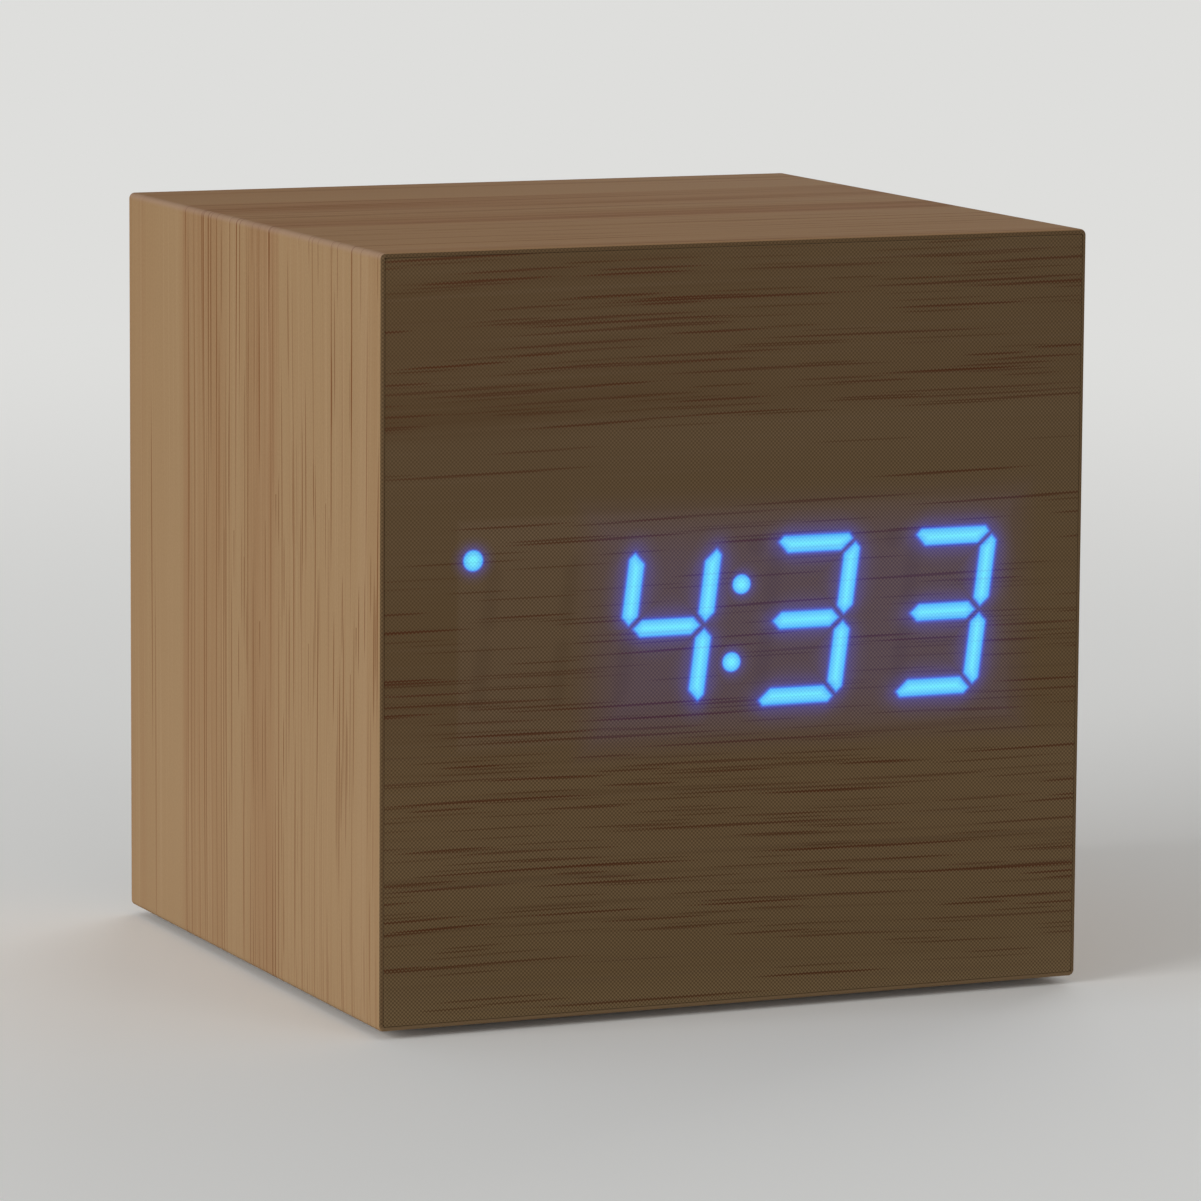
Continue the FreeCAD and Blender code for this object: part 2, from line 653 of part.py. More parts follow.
def light_cells(widen):
    """Faces of the lit and of the unlit light cells on the module's face, each made wider by widen."""
    slant = math.tan(math.radians(number("digit_slant")))
    pitch = number("digit_pitch")
    middle = number("module_middle - digit_drop")
    face_y = number("board_front")

    def leaning(x, z):
        return Vector(x + z * slant - number("digit_shift"), face_y, middle + z)

    def dot(x, z, diameter):
        ring = Part.makeCircle(diameter / 2 + widen, leaning(x, z), Vector(0, -1, 0))
        return Part.Face(Part.Wire(ring))

    lit, unlit = [], []
    outlines = segment_outlines()
    for place_in_row, shown in enumerate(SHOWN):
        centre = (place_in_row - 1.5) * pitch
        for letter, points in outlines.items():
            turning_points = [leaning(centre + x, z) for x, z in points]
            outline = Part.makePolygon(turning_points + turning_points[:1])
            face = Part.Face(outline.makeOffset2D(widen, 2) if widen else outline)
            (lit if letter in SEGMENTS_ON[shown] else unlit).append(face)
        mark = dot(centre - number("mark_left"), number("mark_rise"), number("mark_diameter"))
        if place_in_row == 0:
            lit.append(mark)
        elif place_in_row > 1:
            unlit.append(mark)
    for side in (-1, 1):
        lit.append(dot(0, side * number("colon_rise"), number("colon_diameter")))
    return lit, unlit


def clock_module():
    depth = Vector(0, number("housing_depth"), 0)
    lit, unlit = light_cells(0)
    shaped("lit_segments", Part.makeCompound([face.extrude(depth) for face in lit]))
    shaped("unlit_segments", Part.makeCompound([face.extrude(depth) for face in unlit]))
    wells = doc.addObject("Part::Feature", "LightWells")
    wide_lit, wide_unlit = light_cells(number("resin_gap"))
    wells.Shape = Part.makeCompound([face.extrude(depth) for face in wide_lit + wide_unlit])
    wells.Placement = Placement()
    case = block("display_housing", "module_width", "housing_depth", "module_height")
    place(case, x="-module_width / 2", y="board_front", z="module_middle - module_height / 2")
    housing = doc.addObject("Part::Cut", "Housing")
    housing.Base = case
    housing.Tool = wells
    subpart(housing, "display_housing")

    body = new_body("display_carrier")
    place(body, y="module_back", z="module_middle")
    outline = rectangle(
        drawing(body, FRONT),
        "module_width - 2 * carrier_inset",
        "module_height - 2 * carrier_inset",
    )
    add(body, outline, "carrier_thickness")


def pin_spots():
    across = [f"{step} * module_pin_pitch" for step in (-2.5, -1.5, -0.5, 0.5, 1.5, 2.5)]
    return [(x, f"{row} * module_pin_rows / 2") for row in (-1, 1) for x in across]


def display_pins():
    body = new_body("display_pins", several=True)
    place(body, y="module_back", z="module_middle")
    pins = circles(drawing(body, FRONT), "module_pin_diameter", pin_spots())
    add(body, pins, "circuit_board_thickness + module_pin_tail", flip=True)


# Main circuit board and what is soldered to it. Its middle is behind the module's.


def main_board():
    body = new_body("main_board")
    place(body, y="module_back", z="module_middle")
    outline = rectangle(drawing(body, FRONT), "main_board_width", "main_board_height")
    add(body, outline, "circuit_board_thickness", flip=True)
    holes = circles(drawing(body, FRONT), "shank_hole_diameter", corners("main_screw_x", "main_screw_z"))
    circles(holes, "module_pin_diameter + shank_gap", pin_spots())
    cut(body, holes, "circuit_board_thickness")


def board_spacers():
    body = new_body("board_spacers", several=True)
    place(body, y="front_board_back", z="module_middle")
    spots = corners("main_screw_x", "main_screw_z")
    add(body, circles(drawing(body, FRONT), "spacer_diameter", spots), "spacer_length", flip=True)
    cut(body, circles(drawing(body, FRONT), "shank_hole_diameter", spots), "spacer_length")


def on_main_board(label, several=False):
    """A body whose own origin is the middle of the back of the main board."""
    body = new_body(label, several)
    return place(body, y="main_board_back", z="module_middle")


DRIVER_SPOTS = (("-driver_spread", "0"), ("driver_spread", "0"))


def chips():
    body = on_main_board("clock_chip")
    add(body, rectangle(drawing(body, FRONT), "chip_length", "chip_height"), "chip_depth", flip=True)
    dimple = circle(
        drawing(body, FRONT, "chip_depth"),
        "chip_height / 5",
        "chip_height - chip_length / 2",
        "chip_height / 4",
    )
    cut(body, dimple, "chip_depth / 8", flip=True)

    body = on_main_board("segment_drivers", several=True)
    sketch = drawing(body, FRONT)
    for x, z in DRIVER_SPOTS:
        rectangle(sketch, "driver_length", "driver_height", x, z)
    add(body, sketch, "driver_depth", flip=True)


def chip_legs():
    """Bent legs on both long sides of each chip: a pair of them, repeated along it."""
    rows = [("chip_height", 14, "0")] + [("driver_height", 8, x) for x, _ in DRIVER_SPOTS]
    shapes = []
    for height, legs, x in rows:
        body = doc.addObject("PartDesign::Body", "Legs")
        body.AllowCompound = True
        span = f"{legs - 1} * leg_pitch"
        place(body, f"{x} - {span} / 2", "main_board_back", "module_middle")
        sketch = drawing(body, SIDE)
        for side in ("", "-"):
            polygon(
                sketch,
                [
                    ("0", f"{side}({height} / 2)"),
                    ("0", f"{side}({height} / 2 + leg_foot)"),
                    ("leg_thickness", f"{side}({height} / 2 + leg_foot)"),
                    ("leg_thickness", f"{side}({height} / 2 + leg_thickness)"),
                    ("leg_rise", f"{side}({height} / 2 + leg_thickness)"),
                    ("leg_rise", f"{side}({height} / 2)"),
                ],
            )
        leg = add(body, sketch, "leg_width", both_ways=True)
        pattern = body.newObject("PartDesign::LinearPattern", "LegRow")
        pattern.Originals = [leg]
        pattern.Direction = (sketch, ["N_Axis"])
        bind(pattern, "Length", span)
        pattern.Occurrences = legs
        body.Tip = pattern
        doc.recompute()
        shapes.append(body)
    group = doc.addObject("Part::Compound", "ChipLegs")
    group.Links = shapes
    subpart(group, "chip_legs")


def small_parts():
    body = on_main_board("quartz_crystal")
    can = circle(
        drawing(body, SIDE),
        "crystal_diameter",
        "crystal_diameter / 2 + resin_gap",
        "crystal_height",
    )
    add(body, can, "crystal_length", both_ways=True)
    for end in ("-crystal_length / 2", "crystal_length / 2"):
        round_edges(body, lies_at("X", number(end)), "crystal_diameter / 8")

    body = on_main_board("capacitors", several=True)
    spots = [(f"-{share} * capacitor_diameter", "-capacitor_drop") for share in (2, 0.7)]
    add(body, circles(drawing(body, FRONT), "capacitor_diameter", spots), "capacitor_length", flip=True)
    round_edges(body, lies_at("Y", number("capacitor_length")), "capacitor_diameter / 12")

    body = on_main_board("buzzer")
    spot = ("buzzer_right", "-buzzer_drop")
    add(body, circle(drawing(body, FRONT), "buzzer_diameter", *spot), "buzzer_height", flip=True)
    round_edges(body, lies_at("Y", number("buzzer_height")), "buzzer_diameter / 20")
    sound_hole = circle(drawing(body, FRONT, "buzzer_height"), "buzzer_hole", *spot)
    cut(body, sound_hole, "buzzer_height / 4", flip=True)

    body = on_main_board("chip_resistors", several=True)
    sketch = drawing(body, FRONT)
    for i in range(2, 8):
        x = f"{i} * resistor_pitch"
        rectangle(sketch, "resistor_width", "resistor_length", x, "resistor_rise")
    add(body, sketch, "resistor_height", flip=True)


def display_pins():
    body = new_body("display_pins", several=True)
    place(body, y="module_back", z="module_middle")
    pins = circles(drawing(body, FRONT), "module_pin_diameter", pin_spots())
    add(body, pins, "circuit_board_thickness + module_pin_tail", flip=True)


# Wires: straight runs joined by tangent arcs


def wire_route(points):
    """A wire through the points, each bend as large as its two runs allow."""
    edges = []
    start = points[0]
    for before, bend, after in zip(points, points[1:], points[2:]):
        into, out = (bend - before).normalize(), (after - bend).normalize()
        half_turn = into.getAngle(out) / 2
        setback = 0.45 * min(before.distanceToPoint(bend), bend.distanceToPoint(after))
        first, last = bend - into * setback, bend + out * setback
        towards = (out - into).normalize()
        radius = setback / math.tan(half_turn)
        print(f"  bend radius {radius:.1f}")
        middle = bend + towards * (radius / math.cos(half_turn) - radius)
        edges.append(Part.LineSegment(start, first).toShape())
        edges.append(Part.Arc(first, middle, last).toShape())
        start = last
    edges.append(Part.LineSegment(start, points[-1]).toShape())
    return Part.Wire(edges)


def tube(route, diameter):
    """A round wire along a route, with its volume compared with its section times its length."""
    first = route.Edges[0]
    start, heading = first.valueAt(first.FirstParameter), first.tangentAt(first.FirstParameter)
    ring = Part.Wire(Part.makeCircle(diameter / 2, start, heading))
    solid = route.makePipeShell([ring], True, False)
    expected = math.pi * diameter**2 / 4 * route.Length
    print(f"  tube {route.Length:.1f} long, volume {solid.Volume / expected:.4f} of the expected")
    return solid


def at(x, y, z):
    return Vector(number(x), number(y), number(z))


def wires():
    tab_y = "bay_back - contact_tab_reach"
    tab_x = "bay_length / 2 - contact_thickness / 2"
    low_y, end_y = f"{tab_y} - lead_run", "button_board_front - lead_run"
    lower, upper = "middle_cell - cell_pitch", "middle_cell + cell_pitch"
    black = [
        at(f"-({tab_x})", tab_y, lower),
        at(f"-({tab_x})", low_y, lower),
        at(f"lead_run / 3 - ({tab_x})", f"{low_y} - lead_run / 10", f"{lower} + 1.2 * lead_run"),
        at("-lead_spread - lead_run / 2", low_y, f"{lower} + 3 * lead_run"),
        at("-lead_spread", end_y, "strip_middle"),
        at("-lead_spread", "button_board_front", "strip_middle"),
    ]
    red = [
        at(tab_x, tab_y, upper),
        at(tab_x, low_y, upper),
        at(f"{tab_x} - lead_run / 3", f"{low_y} - lead_run / 20", f"{upper} + lead_run"),
        at("lead_spread", end_y, "strip_middle"),
        at("lead_spread", "button_board_front", "strip_middle"),
    ]
    shaped("black_lead", tube(wire_route(black), number("lead_diameter")))
    shaped("red_lead", tube(wire_route(red), number("lead_diameter")))
    socket_back = "main_board_back + socket_depth - socket_pocket"
    socket_front = "button_board_front - socket_depth + socket_pocket"
    height = "module_middle + main_socket_rise"
    link = []
    for step in (-1.5, -0.5, 0.5, 1.5):
        near = f"{step} * link_pitch - main_socket_left"
        far = f"{step} * link_pitch - button_socket_left"
        points = [
            at(near, socket_back, height),
            at(near, f"{socket_back} + link_run", height),
            at(far, f"{socket_front} - link_run", "strip_middle"),
            at(far, socket_front, "strip_middle"),
        ]
        link.append(tube(wire_route(points), number("link_diameter")))
    shaped("link_wires", Part.makeCompound(link))


def wire_sockets():
    """One socket on the back of the main board and one on the front of the button board."""
    body = new_body("wire_sockets", several=True)
    for y, x, z, flip in (
        ("main_board_back", "-main_socket_left", "module_middle + main_socket_rise", True),
        ("button_board_front", "-button_socket_left", "strip_middle", False),
    ):
        outline = rectangle(drawing(body, FRONT, y), "socket_width", "socket_height", x, z)
        add(body, outline, "socket_depth", flip)
        mouth = f"{y} + socket_depth" if flip else f"{y} - socket_depth"
        pocket = rectangle(
            drawing(body, FRONT, mouth),
            "socket_width - 2 * socket_rim",
            "socket_height - 2 * socket_rim",
            x,
            z,
        )
        cut(body, pocket, "socket_pocket", flip)


# Rear panel with the battery bay, its door, cells and contacts


def from_middle(z):
    return f"{z} - case_middle"


CELLS = (
    ("cell_lower", "-cell_pitch", False),
    ("cell_middle", "0", True),
    ("cell_upper", "cell_pitch", False),
)


def button_spots(z="strip_middle"):
    return [(f"{step} * button_pitch - button_row", z) for step in (-1, 0, 1)]


def boss_spots(z="0"):
    return [("-boss_spread", z), ("boss_spread", z)]


def rear_panel():
    """A moulded panel: its own origin is the middle of its outer face."""
    body = new_body("rear_panel")
    place(body, y="panel_face", z="case_middle")
    add(body, rectangle(drawing(body, FRONT), "panel_width", "panel_height"), "panel_thickness")
    round_edges(body, runs_along(Vector(0, 1, 0)), "panel_corner")
    bay_z = from_middle("bay_middle")
    tub = rectangle(
        drawing(body, FRONT, "-panel_thickness"),
        "bay_length + 2 * bay_wall",
        "bay_height + 2 * bay_wall",
        y=bay_z,
    )
    add(body, tub, "panel_inside - bay_back")
    strip_z = from_middle("strip_middle")
    posts = boss_spots(strip_z)
    bosses = circles(drawing(body, FRONT, "-panel_thickness"), "boss_diameter", posts)
    add(body, bosses, "button_board_depth")
    boss_ends = drawing(body, FRONT, "-panel_thickness - button_board_depth")
    cut(body, circles(boss_ends, "pilot_diameter", posts), "boss_screw_bite + shank_gap")
    bay = rectangle(drawing(body, FRONT), "bay_length", "bay_height", y=bay_z)
    cut(body, bay, "panel_face - bay_floor", flip=True)
    ribs = drawing(body, FRONT, "bay_floor - panel_face")
    for side in (-1, 1):
        rib_z = from_middle(f"middle_cell + {side} * cell_pitch / 2")
        rectangle(ribs, "bay_length - 2 * contact_width", "rib_width", y=rib_z)
    add(body, ribs, "rib_height", flip=True)
    rabbet = rectangle(
        drawing(body, FRONT),
        "door_width + 2 * door_gap",
        "rabbet_top - rabbet_bottom",
        y=from_middle("(rabbet_top + rabbet_bottom) / 2"),
    )
    cut(body, rabbet, "door_thickness + door_seat_gap", flip=True)
    hinge = ("hinge_y - panel_face", from_middle("hinge_z"))
    sockets = circle(drawing(body, SIDE), "hinge_pin_diameter + 2 * hinge_gap", *hinge)
    cut(body, sockets, "2 * socket_reach", both_ways=True)
    mouths = rectangle(
        drawing(body, SIDE),
        "hinge_pin_diameter / 2 + door_thickness",
        "hinge_mouth",
        f"{hinge[0]} + door_thickness / 2",
        hinge[1],
    )
    cut(body, mouths, "2 * socket_reach", both_ways=True)
    catch = rectangle(
        drawing(body, PLAN, from_middle("bay_top")),
        "latch_width + 2 * door_gap",
        "latch_reach / 2",
        y="-door_thickness - latch_reach / 2 - 2 * latch_bump",
    )
    cut(body, catch, "bay_wall / 2", flip=True)
    cut(
        body,
        circle(drawing(body, FRONT), "thumb_notch", y=from_middle("rabbet_top")),
        "thumb_notch_depth",
        flip=True,
    )
    holes = drawing(body, FRONT)
    circles(holes, "button_diameter + 2 * button_gap", button_spots(strip_z))
    circle(holes, "jack_nose_diameter + 2 * jack_nose_gap", "jack_place", strip_z)
    sound_z = from_middle("(cavity_bottom + bay_bottom - bay_wall) / 2")
    for i in (-2, -1, 0, 1, 2):
        circle(holes, "sound_hole_diameter", f"{i} * sound_hole_pitch", sound_z)
    screw_places = corners("corner_x", "corner_z")
    circles(holes, "shank_hole_diameter", screw_places)
    cut(body, holes, "panel_thickness", flip=True)
    recesses = circles(drawing(body, FRONT), "screw_head_diameter + 2 * shank_gap", screw_places)
    cut(body, recesses, "head_recess", flip=True)
    slots = drawing(body, FRONT, "bay_floor - panel_face")
    for side, z in (("-", "middle_cell - cell_pitch"), ("", "middle_cell + cell_pitch")):
        rectangle(
            slots,
            "contact_thickness + shank_gap",
            "contact_tab + 2 * shank_gap",
            f"{side}(bay_length / 2 - (contact_thickness + shank_gap) / 2)",
            from_middle(z),
        )
    cut(body, slots, "bay_wall", flip=True)


def battery_door():
    """A flat door whose lower edge is round about its hinge; its own origin is on that axis."""
    body = new_body("battery_door")
    place(body, y="hinge_y", z="hinge_z")
    leaf = rectangle(drawing(body, SIDE), "door_thickness", "door_reach", y="door_reach / 2")
    add(body, leaf, "door_width", both_ways=True)

    def upper_corner(edge):
        return runs_along(Vector(0, 1, 0))(edge) and edge.BoundBox.ZMin > 1

    round_edges(body, upper_corner, "panel_corner")
    add(body, circle(drawing(body, SIDE), "door_thickness"), "door_width", both_ways=True)
    pins = circle(drawing(body, SIDE), "hinge_pin_diameter")
    add(body, pins, "door_width + 2 * hinge_pin_length", both_ways=True)
    back = drawing(body, FRONT, "-door_thickness / 2")
    latch_top = "bay_top - door_gap - hinge_z"
    rectangle(back, "latch_width", "latch_thickness", y=f"{latch_top} - latch_thickness / 2")
    add(body, back, "latch_reach")
    bump_y = "-door_thickness / 2 - latch_reach"
    bump = polygon(
        drawing(body, SIDE),
        [
            (bump_y, latch_top),
            (f"{bump_y} + 4 * latch_bump", latch_top),
            (f"{bump_y} + 2 * latch_bump", f"{latch_top} + latch_bump"),
        ],
    )
    add(body, bump, "latch_width", both_ways=True)
    ribs = drawing(body, FRONT, "-door_thickness / 2")
    for side in (-1, 1):
        rib_z = f"middle_cell + {side} * cell_pitch / 2 - hinge_z"
        rectangle(ribs, "bay_length - 2 * contact_width", "rib_width", y=rib_z)
    add(body, ribs, "cell_cover_gap + rib_height / 2")
    grooves = drawing(body, FRONT, "door_thickness / 2")
    for i in range(4):
        rectangle(grooves, "grip_length", "grip_width", y=f"door_reach - {i + 2} * grip_pitch")
    cut(body, grooves, "grip_depth", flip=True)


def cells():
    """Three cells side by side, each second one turned end for end."""
    for label, z, turned in CELLS:
        body = new_body(label)
        place(
            body,
            "-cell_start" if turned else "cell_start",
            "cell_axis",
            f"middle_cell + {z}",
            TO_REAR if turned else Rotation(),
        )
        profile = polygon(
            drawing(body, PLAN),
            [
                ("0", "0"),
                ("cell_length", "0"),
                ("cell_length", "nub_diameter / 2"),
                ("cell_length - nub_height", "nub_diameter / 2"),
                ("cell_length - nub_height", "cell_diameter / 2"),
                ("0", "cell_diameter / 2"),
            ],
        )
        spin(body, profile, "H_Axis")

        def outer_rim(edge):
            wide = edge.BoundBox.ZMax > number("cell_diameter / 2") - 1e-3
            return isinstance(edge.Curve, Part.Circle) and wide

        round_edges(body, outer_rim, "nub_height / 2")


def contact_plates():
    """Plates on both ends of the bay; two of them bridge neighbouring cells."""
    body = new_body("contact_plates", several=True)
    place(body, y="cell_axis", z="middle_cell")
    for side, single, bridge in (
        ("-", "-cell_pitch", "cell_pitch / 2"),
        ("", "cell_pitch", "-cell_pitch / 2"),
    ):
        away = side == ""
        plates = drawing(body, SIDE, f"{side}(bay_length / 2)")
        rectangle(plates, "contact_width", "contact_width", y=single)
        rectangle(plates, "contact_width", "contact_width + cell_pitch", y=bridge)
        add(body, plates, "contact_thickness", flip=away)
        tab_end = "bay_back - contact_tab_reach - cell_axis"
        tab = rectangle(
            drawing(body, SIDE, f"{side}(bay_length / 2)"),
            f"-contact_width / 2 - ({tab_end})",
            "contact_tab",
            f"({tab_end} - contact_width / 2) / 2",
            single,
        )
        add(body, tab, "contact_thickness", flip=away)


def coil_route(plate_x, towards, z):
    """A cone of half turns: each is a half circle over its own chord, so they join smoothly."""
    half_turns = 2 * int(number("spring_turns"))
    seat = number("spring_wire / 2 + resin_gap / 2")
    room = number("spring_room") - 2 * seat
    base, tip = number("spring_base / 2"), number("spring_tip / 2")
    centre = Vector(plate_x, number("cell_axis"), z)

    def turning_point(i):
        share = i / half_turns
        side = 1 if i % 2 == 0 else -1
        radius = base + (tip - base) * share
        return centre + Vector(towards * (seat + room * share), side * radius, 0)

    arcs = []
    for i in range(half_turns):
        start, end = turning_point(i), turning_point(i + 1)
        bulge = Vector(0, 0, (1 if i % 2 == 0 else -1) * start.distanceToPoint(end) / 2)
        arcs.append(Part.Arc(start, (start + end) / 2 + bulge, end).toShape())
    return Part.Wire(arcs)


def least_gap(route, diameter):
    """Smallest gap between parts of a wound wire that are half a turn or more apart."""
    steps = 12
    spots = []
    for edge in route.Edges:
        first, span = edge.FirstParameter, edge.LastParameter - edge.FirstParameter
        spots += [edge.valueAt(first + span * i / steps) for i in range(steps)]
    gaps = [a.distanceToPoint(b) for i, a in enumerate(spots) for b in spots[i + steps :]]
    return min(gaps) - diameter


def contact_springs():
    plate = number("bay_length / 2 - contact_thickness")
    pitch, middle = number("cell_pitch"), number("middle_cell")
    coils = []
    for plate_x, towards, z in (
        (-plate, 1, middle - pitch),
        (plate, -1, middle),
        (-plate, 1, middle + pitch),
    ):
        route = coil_route(plate_x, towards, z)
        print(f"  least gap in the spring {least_gap(route, number('spring_wire')):.2f}")
        coils.append(tube(route, number("spring_wire")))
    shaped("contact_springs", Part.makeCompound(coils))


# Buttons, their switches and the power inlet, on a board carried by two bosses


def button_board():
    body = new_body("button_board")
    place(body, y="button_board_back", z="strip_middle")
    outline = rectangle(drawing(body, FRONT), "button_board_width", "button_board_height")
    add(body, outline, "circuit_board_thickness")
    holes = circles(drawing(body, FRONT), "shank_hole_diameter", boss_spots())
    cut(body, holes, "circuit_board_thickness", flip=True)


def switches():
    body = new_body("switch_bases", several=True)
    place(body, y="button_board_back", z="strip_middle")
    sketch = drawing(body, FRONT)
    for x, z in button_spots("0"):
        rectangle(sketch, "switch_side", "switch_side", x, z)
    add(body, sketch, "switch_height", flip=True)
    bore = "plunger_diameter + 2 * plunger_gap"
    bores = circles(drawing(body, FRONT, "switch_height"), bore, button_spots("0"))
    cut(body, bores, "switch_bore_depth", flip=True)

    body = new_body("switch_covers", several=True)
    place(body, y="button_board_back + switch_height", z="strip_middle")
    sketch = drawing(body, FRONT)
    for x, z in button_spots("0"):
        rectangle(sketch, "switch_side", "switch_side", x, z)
        circle(sketch, bore, x, z)
    add(body, sketch, "switch_cover_thickness", flip=True)


def buttons():
    flange_end = "flange_start + button_flange_height"
    for name, (x, z) in zip(("down", "up", "set"), button_spots()):
        body = new_body(f"{name}_button")
        place(body, x, "plunger_tip", z)
        profile = polygon(
            drawing(body, PLAN),
            [
                ("0", "0"),
                ("button_stem_diameter / 2", "0"),
                ("button_stem_diameter / 2", "flange_start"),
                ("button_flange_diameter / 2", "flange_start"),
                ("button_flange_diameter / 2", flange_end),
                ("button_diameter / 2", flange_end),
                ("button_diameter / 2", "button_length"),
                ("0", "button_length"),
            ],
        )
        spin(body, profile, "V_Axis")
        round_edges(body, lies_at("Y", number("button_length")), "button_proud / 2")
        body = new_body(f"{name}_plunger")
        place(body, x, "plunger_tip", z)
        add(body, circle(drawing(body, FRONT), "plunger_diameter"), "plunger_length")


def power_inlet():
    body = new_body("jack_housing")
    place(body, "jack_place", "button_board_back", "strip_middle")
    add(body, rectangle(drawing(body, FRONT), "jack_side", "jack_side"), "jack_body_length", flip=True)
    nose = circle(drawing(body, FRONT, "jack_body_length"), "jack_nose_diameter")
    add(body, nose, "jack_nose_length", flip=True)
    mouth = "jack_body_length + jack_nose_length"
    cut(body, circle(drawing(body, FRONT, mouth), "jack_bore_diameter"), "jack_bore_depth", flip=True)
    floor = f"{mouth} - jack_bore_depth"
    cut(body, circle(drawing(body, FRONT), "jack_pin_diameter + 2 * thread_gap"), floor)
    groove = rectangle(
        drawing(body, FRONT, floor),
        "leaf_width + shank_gap",
        "leaf_thickness + jack_bore_diameter / 2",
        y="(leaf_thickness + jack_bore_diameter / 2) / 2",
    )
    cut(body, groove, "leaf_length")

    body = new_body("jack_pin")
    place(body, "jack_place", "button_board_back", "strip_middle")
    add(body, circle(drawing(body, FRONT), "jack_pin_diameter"), "jack_pin_length", flip=True)
    round_edges(body, lies_at("Y", number("jack_pin_length")), "jack_pin_diameter / 4")

    body = new_body("jack_leaf")
    place(body, "jack_place", f"button_board_back + {floor}", "strip_middle")
    leaf = rectangle(
        drawing(body, FRONT),
        "leaf_width",
        "leaf_thickness",
        y="jack_bore_diameter / 2 + leaf_thickness / 2 - thread_gap",
    )
    add(body, leaf, "leaf_length - shank_gap", flip=True)


def all_screws():
    spots = corners("main_screw_x", "main_screw_z")
    length = "circuit_board_thickness + spacer_length + screw_bite"
    screws("board_screws", spots, length, y="main_board_back", z="module_middle")
    spots = corners("corner_x", "corner_z")
    seat = "panel_face - head_recess"
    screws("panel_screws", spots, "panel_screw_length", y=seat, z="case_middle")
    length = "circuit_board_thickness + boss_screw_bite"
    seat = "button_board_front"
    screws("button_board_screws", boss_spots(), length, y=seat, z="strip_middle", turn=TO_REAR)


for make in (
    wrap_film,
    front_film,
    boards,
    front_board,
    corner_blocks,
    foot_pads,
    clock_module,
    display_pins,
    main_board,
    board_spacers,
    chips,
    chip_legs,
    small_parts,
    wire_sockets,
    wires,
    rear_panel,
    battery_door,
    cells,
    contact_plates,
    contact_springs,
    button_board,
    switches,
    buttons,
    power_inlet,
    all_screws,
):
    make()

doc.recompute()
failed = [thing.Label for thing in doc.Objects if {"Invalid", "Error"} & set(thing.State)]
failed += [thing.Label for thing in subparts if thing.Shape.isNull() or not thing.Shape.isValid()]
if failed:
    raise RuntimeError("these did not build: " + ", ".join(failed))

os.makedirs("parts", exist_ok=True)
for thing in subparts:
    thing.Shape.exportStep(f"parts/{thing.Label}.step")
    print(f"{thing.Label}: {len(thing.Shape.Solids)} solids, {thing.Shape.Volume:.1f} mm3")
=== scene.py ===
"""Looks of the cube alarm clock: wood-look films, the display behind them, the moulded back, the inside."""

from math import cos, hypot, pi, radians, sin, tan

import bpy
from mathutils import Matrix, Vector


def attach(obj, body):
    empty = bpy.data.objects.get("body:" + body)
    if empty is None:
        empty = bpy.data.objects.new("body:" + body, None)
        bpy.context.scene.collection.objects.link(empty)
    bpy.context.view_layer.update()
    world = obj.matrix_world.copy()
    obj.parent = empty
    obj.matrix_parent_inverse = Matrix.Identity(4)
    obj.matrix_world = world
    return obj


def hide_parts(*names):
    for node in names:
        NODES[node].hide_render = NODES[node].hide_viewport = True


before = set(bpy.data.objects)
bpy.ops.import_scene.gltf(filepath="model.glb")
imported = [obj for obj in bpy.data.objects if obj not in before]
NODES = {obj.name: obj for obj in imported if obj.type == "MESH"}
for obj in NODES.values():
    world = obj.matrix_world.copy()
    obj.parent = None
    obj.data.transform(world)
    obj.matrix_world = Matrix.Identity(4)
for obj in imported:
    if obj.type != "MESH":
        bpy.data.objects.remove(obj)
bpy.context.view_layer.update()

MM = 0.001
CASE_WIDTH, CASE_DEPTH, CASE_HEIGHT = 64, 60, 64
FOOT_HEIGHT = 0.7
CASE_TOP = FOOT_HEIGHT + CASE_HEIGHT
CASE_MIDDLE = FOOT_HEIGHT + CASE_HEIGHT / 2
FRONT = -CASE_DEPTH / 2
BACK = CASE_DEPTH / 2
FILM = 0.3
LONG_EDGE_RADIUS = 0.5
FRONT_EDGE_RADIUS = 0.4
FRONT_FILM_WIDTH = 63.16
FRONT_FILM_CORNER = 0.2
FRONT_FILM_EDGE = 0.06
NEAR = 0.01


# Colours and finishes

NOISE_LOW, NOISE_HIGH = 0.3, 0.7
DARK, WHITE = (0.0, 0.0, 0.0), (1.0, 1.0, 1.0)


def linear(red, green, blue):
    """A colour given as it shows on a screen, from 0 to 255, as the shaders want it."""
    return tuple(
        v / 12.92 if v <= 0.04045 else ((v + 0.055) / 1.055) ** 2.4
        for v in (red / 255, green / 255, blue / 255)
    )


